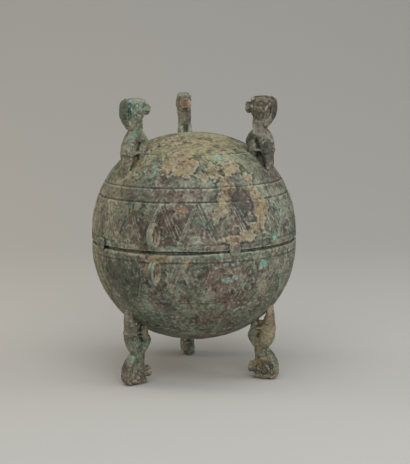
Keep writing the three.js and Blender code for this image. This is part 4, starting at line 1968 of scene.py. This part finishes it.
def make_lights():
    turn = Matrix.Rotation(bpy.context.scene.dui_stage.azimuth, 3, "Z")
    for name, place, target, size, power, colour in LIGHTS:
        light = bpy.data.lights.new(name, "AREA")
        light.shape = "SQUARE"
        light.size = size
        light.energy = power
        light.color = rgb(colour)[:3]
        piece = new_object(name, light)
        piece.location = turn @ Vector(place)
        aim = Vector(target) - piece.location
        piece.rotation_euler = aim.to_track_quat("-Z", "Y").to_euler()
    world = bpy.context.scene.world or bpy.data.worlds.new("studio")
    bpy.context.scene.world = world
    world.use_nodes = True
    background = world.node_tree.nodes["Background"]
    background.inputs["Color"].default_value = rgb(SURROUND_COLOUR)
    background.inputs["Strength"].default_value = SURROUND_STRENGTH


# The photograph's frame, and the lens's distance and middle in it, in pixels. Its lean is in degrees
FRAME_WIDTH, FRAME_HEIGHT = 410.0, 464.0
PIXEL_DISTANCE = 1250.0
CENTRE_X, CENTRE_Y = 194.07, 236.1
CAMERA_LEAN = -0.85
SENSOR = 36.0


def make_camera(settings):
    """A long lens at the photograph's angle."""
    camera = bpy.data.cameras.new("camera")
    camera.sensor_width = SENSOR
    camera.lens = SENSOR * PIXEL_DISTANCE / FRAME_HEIGHT
    camera.shift_x = (FRAME_WIDTH / 2 - CENTRE_X) / FRAME_HEIGHT
    camera.shift_y = (CENTRE_Y - FRAME_HEIGHT / 2) / FRAME_HEIGHT
    camera.clip_start, camera.clip_end = 0.05, 20.0
    piece = new_object("camera", camera)
    a, e = settings.azimuth, settings.elevation
    back = Vector((math.sin(a) * math.cos(e), -math.cos(a) * math.cos(e), math.sin(e)))
    middle = Vector((0, 0, RIM_HEIGHT * MM))
    piece.location = middle + back * settings.distance
    lean = Matrix.Rotation(math.radians(CAMERA_LEAN), 4, "Z")
    piece.rotation_euler = ((-back).to_track_quat("-Z", "Y").to_matrix().to_4x4() @ lean).to_euler()
    bpy.context.scene.camera = piece
    bpy.context.scene.view_settings.view_transform = "Standard"


class DUI_PT_panel(bpy.types.Panel):
    """Lists the parts of the dui"""

    bl_label = "Excavated Dui"
    bl_idname = "DUI_PT_panel"
    bl_space_type = "VIEW_3D"
    bl_region_type = "UI"
    bl_category = "Dui"

    def draw(self, context):
        for operator in OPERATORS:
            self.layout.operator(operator.bl_idname)
        for group in GROUPS:
            settings = getattr(context.scene, group)
            for name in settings.__annotations__:
                self.layout.prop(settings, name)


OPERATORS = (DUI_OT_stage, DUI_OT_bowl, DUI_OT_lid, DUI_OT_legs, DUI_OT_lugs)
GROUPS = {
    "dui_body": DuiBodySettings,
    "dui_legs": DuiLegSettings,
    "dui_lugs": DuiLugSettings,
    "dui_patina": DuiPatinaSettings,
    "dui_stage": DuiStageSettings,
}
CLASSES = (*GROUPS.values(), *OPERATORS, DUI_PT_panel)


def register():
    for item in CLASSES:
        bpy.utils.register_class(item)
    for name, group in GROUPS.items():
        setattr(bpy.types.Scene, name, PointerProperty(type=group))


def unregister():
    for name in GROUPS:
        delattr(bpy.types.Scene, name)
    for item in reversed(CLASSES):
        bpy.utils.unregister_class(item)


def main():
    register()
    dui = bpy.ops.dui
    for operator in (dui.stage, dui.bowl, dui.lid, dui.legs, dui.lugs):
        operator()


if __name__ == "__main__":
    main()
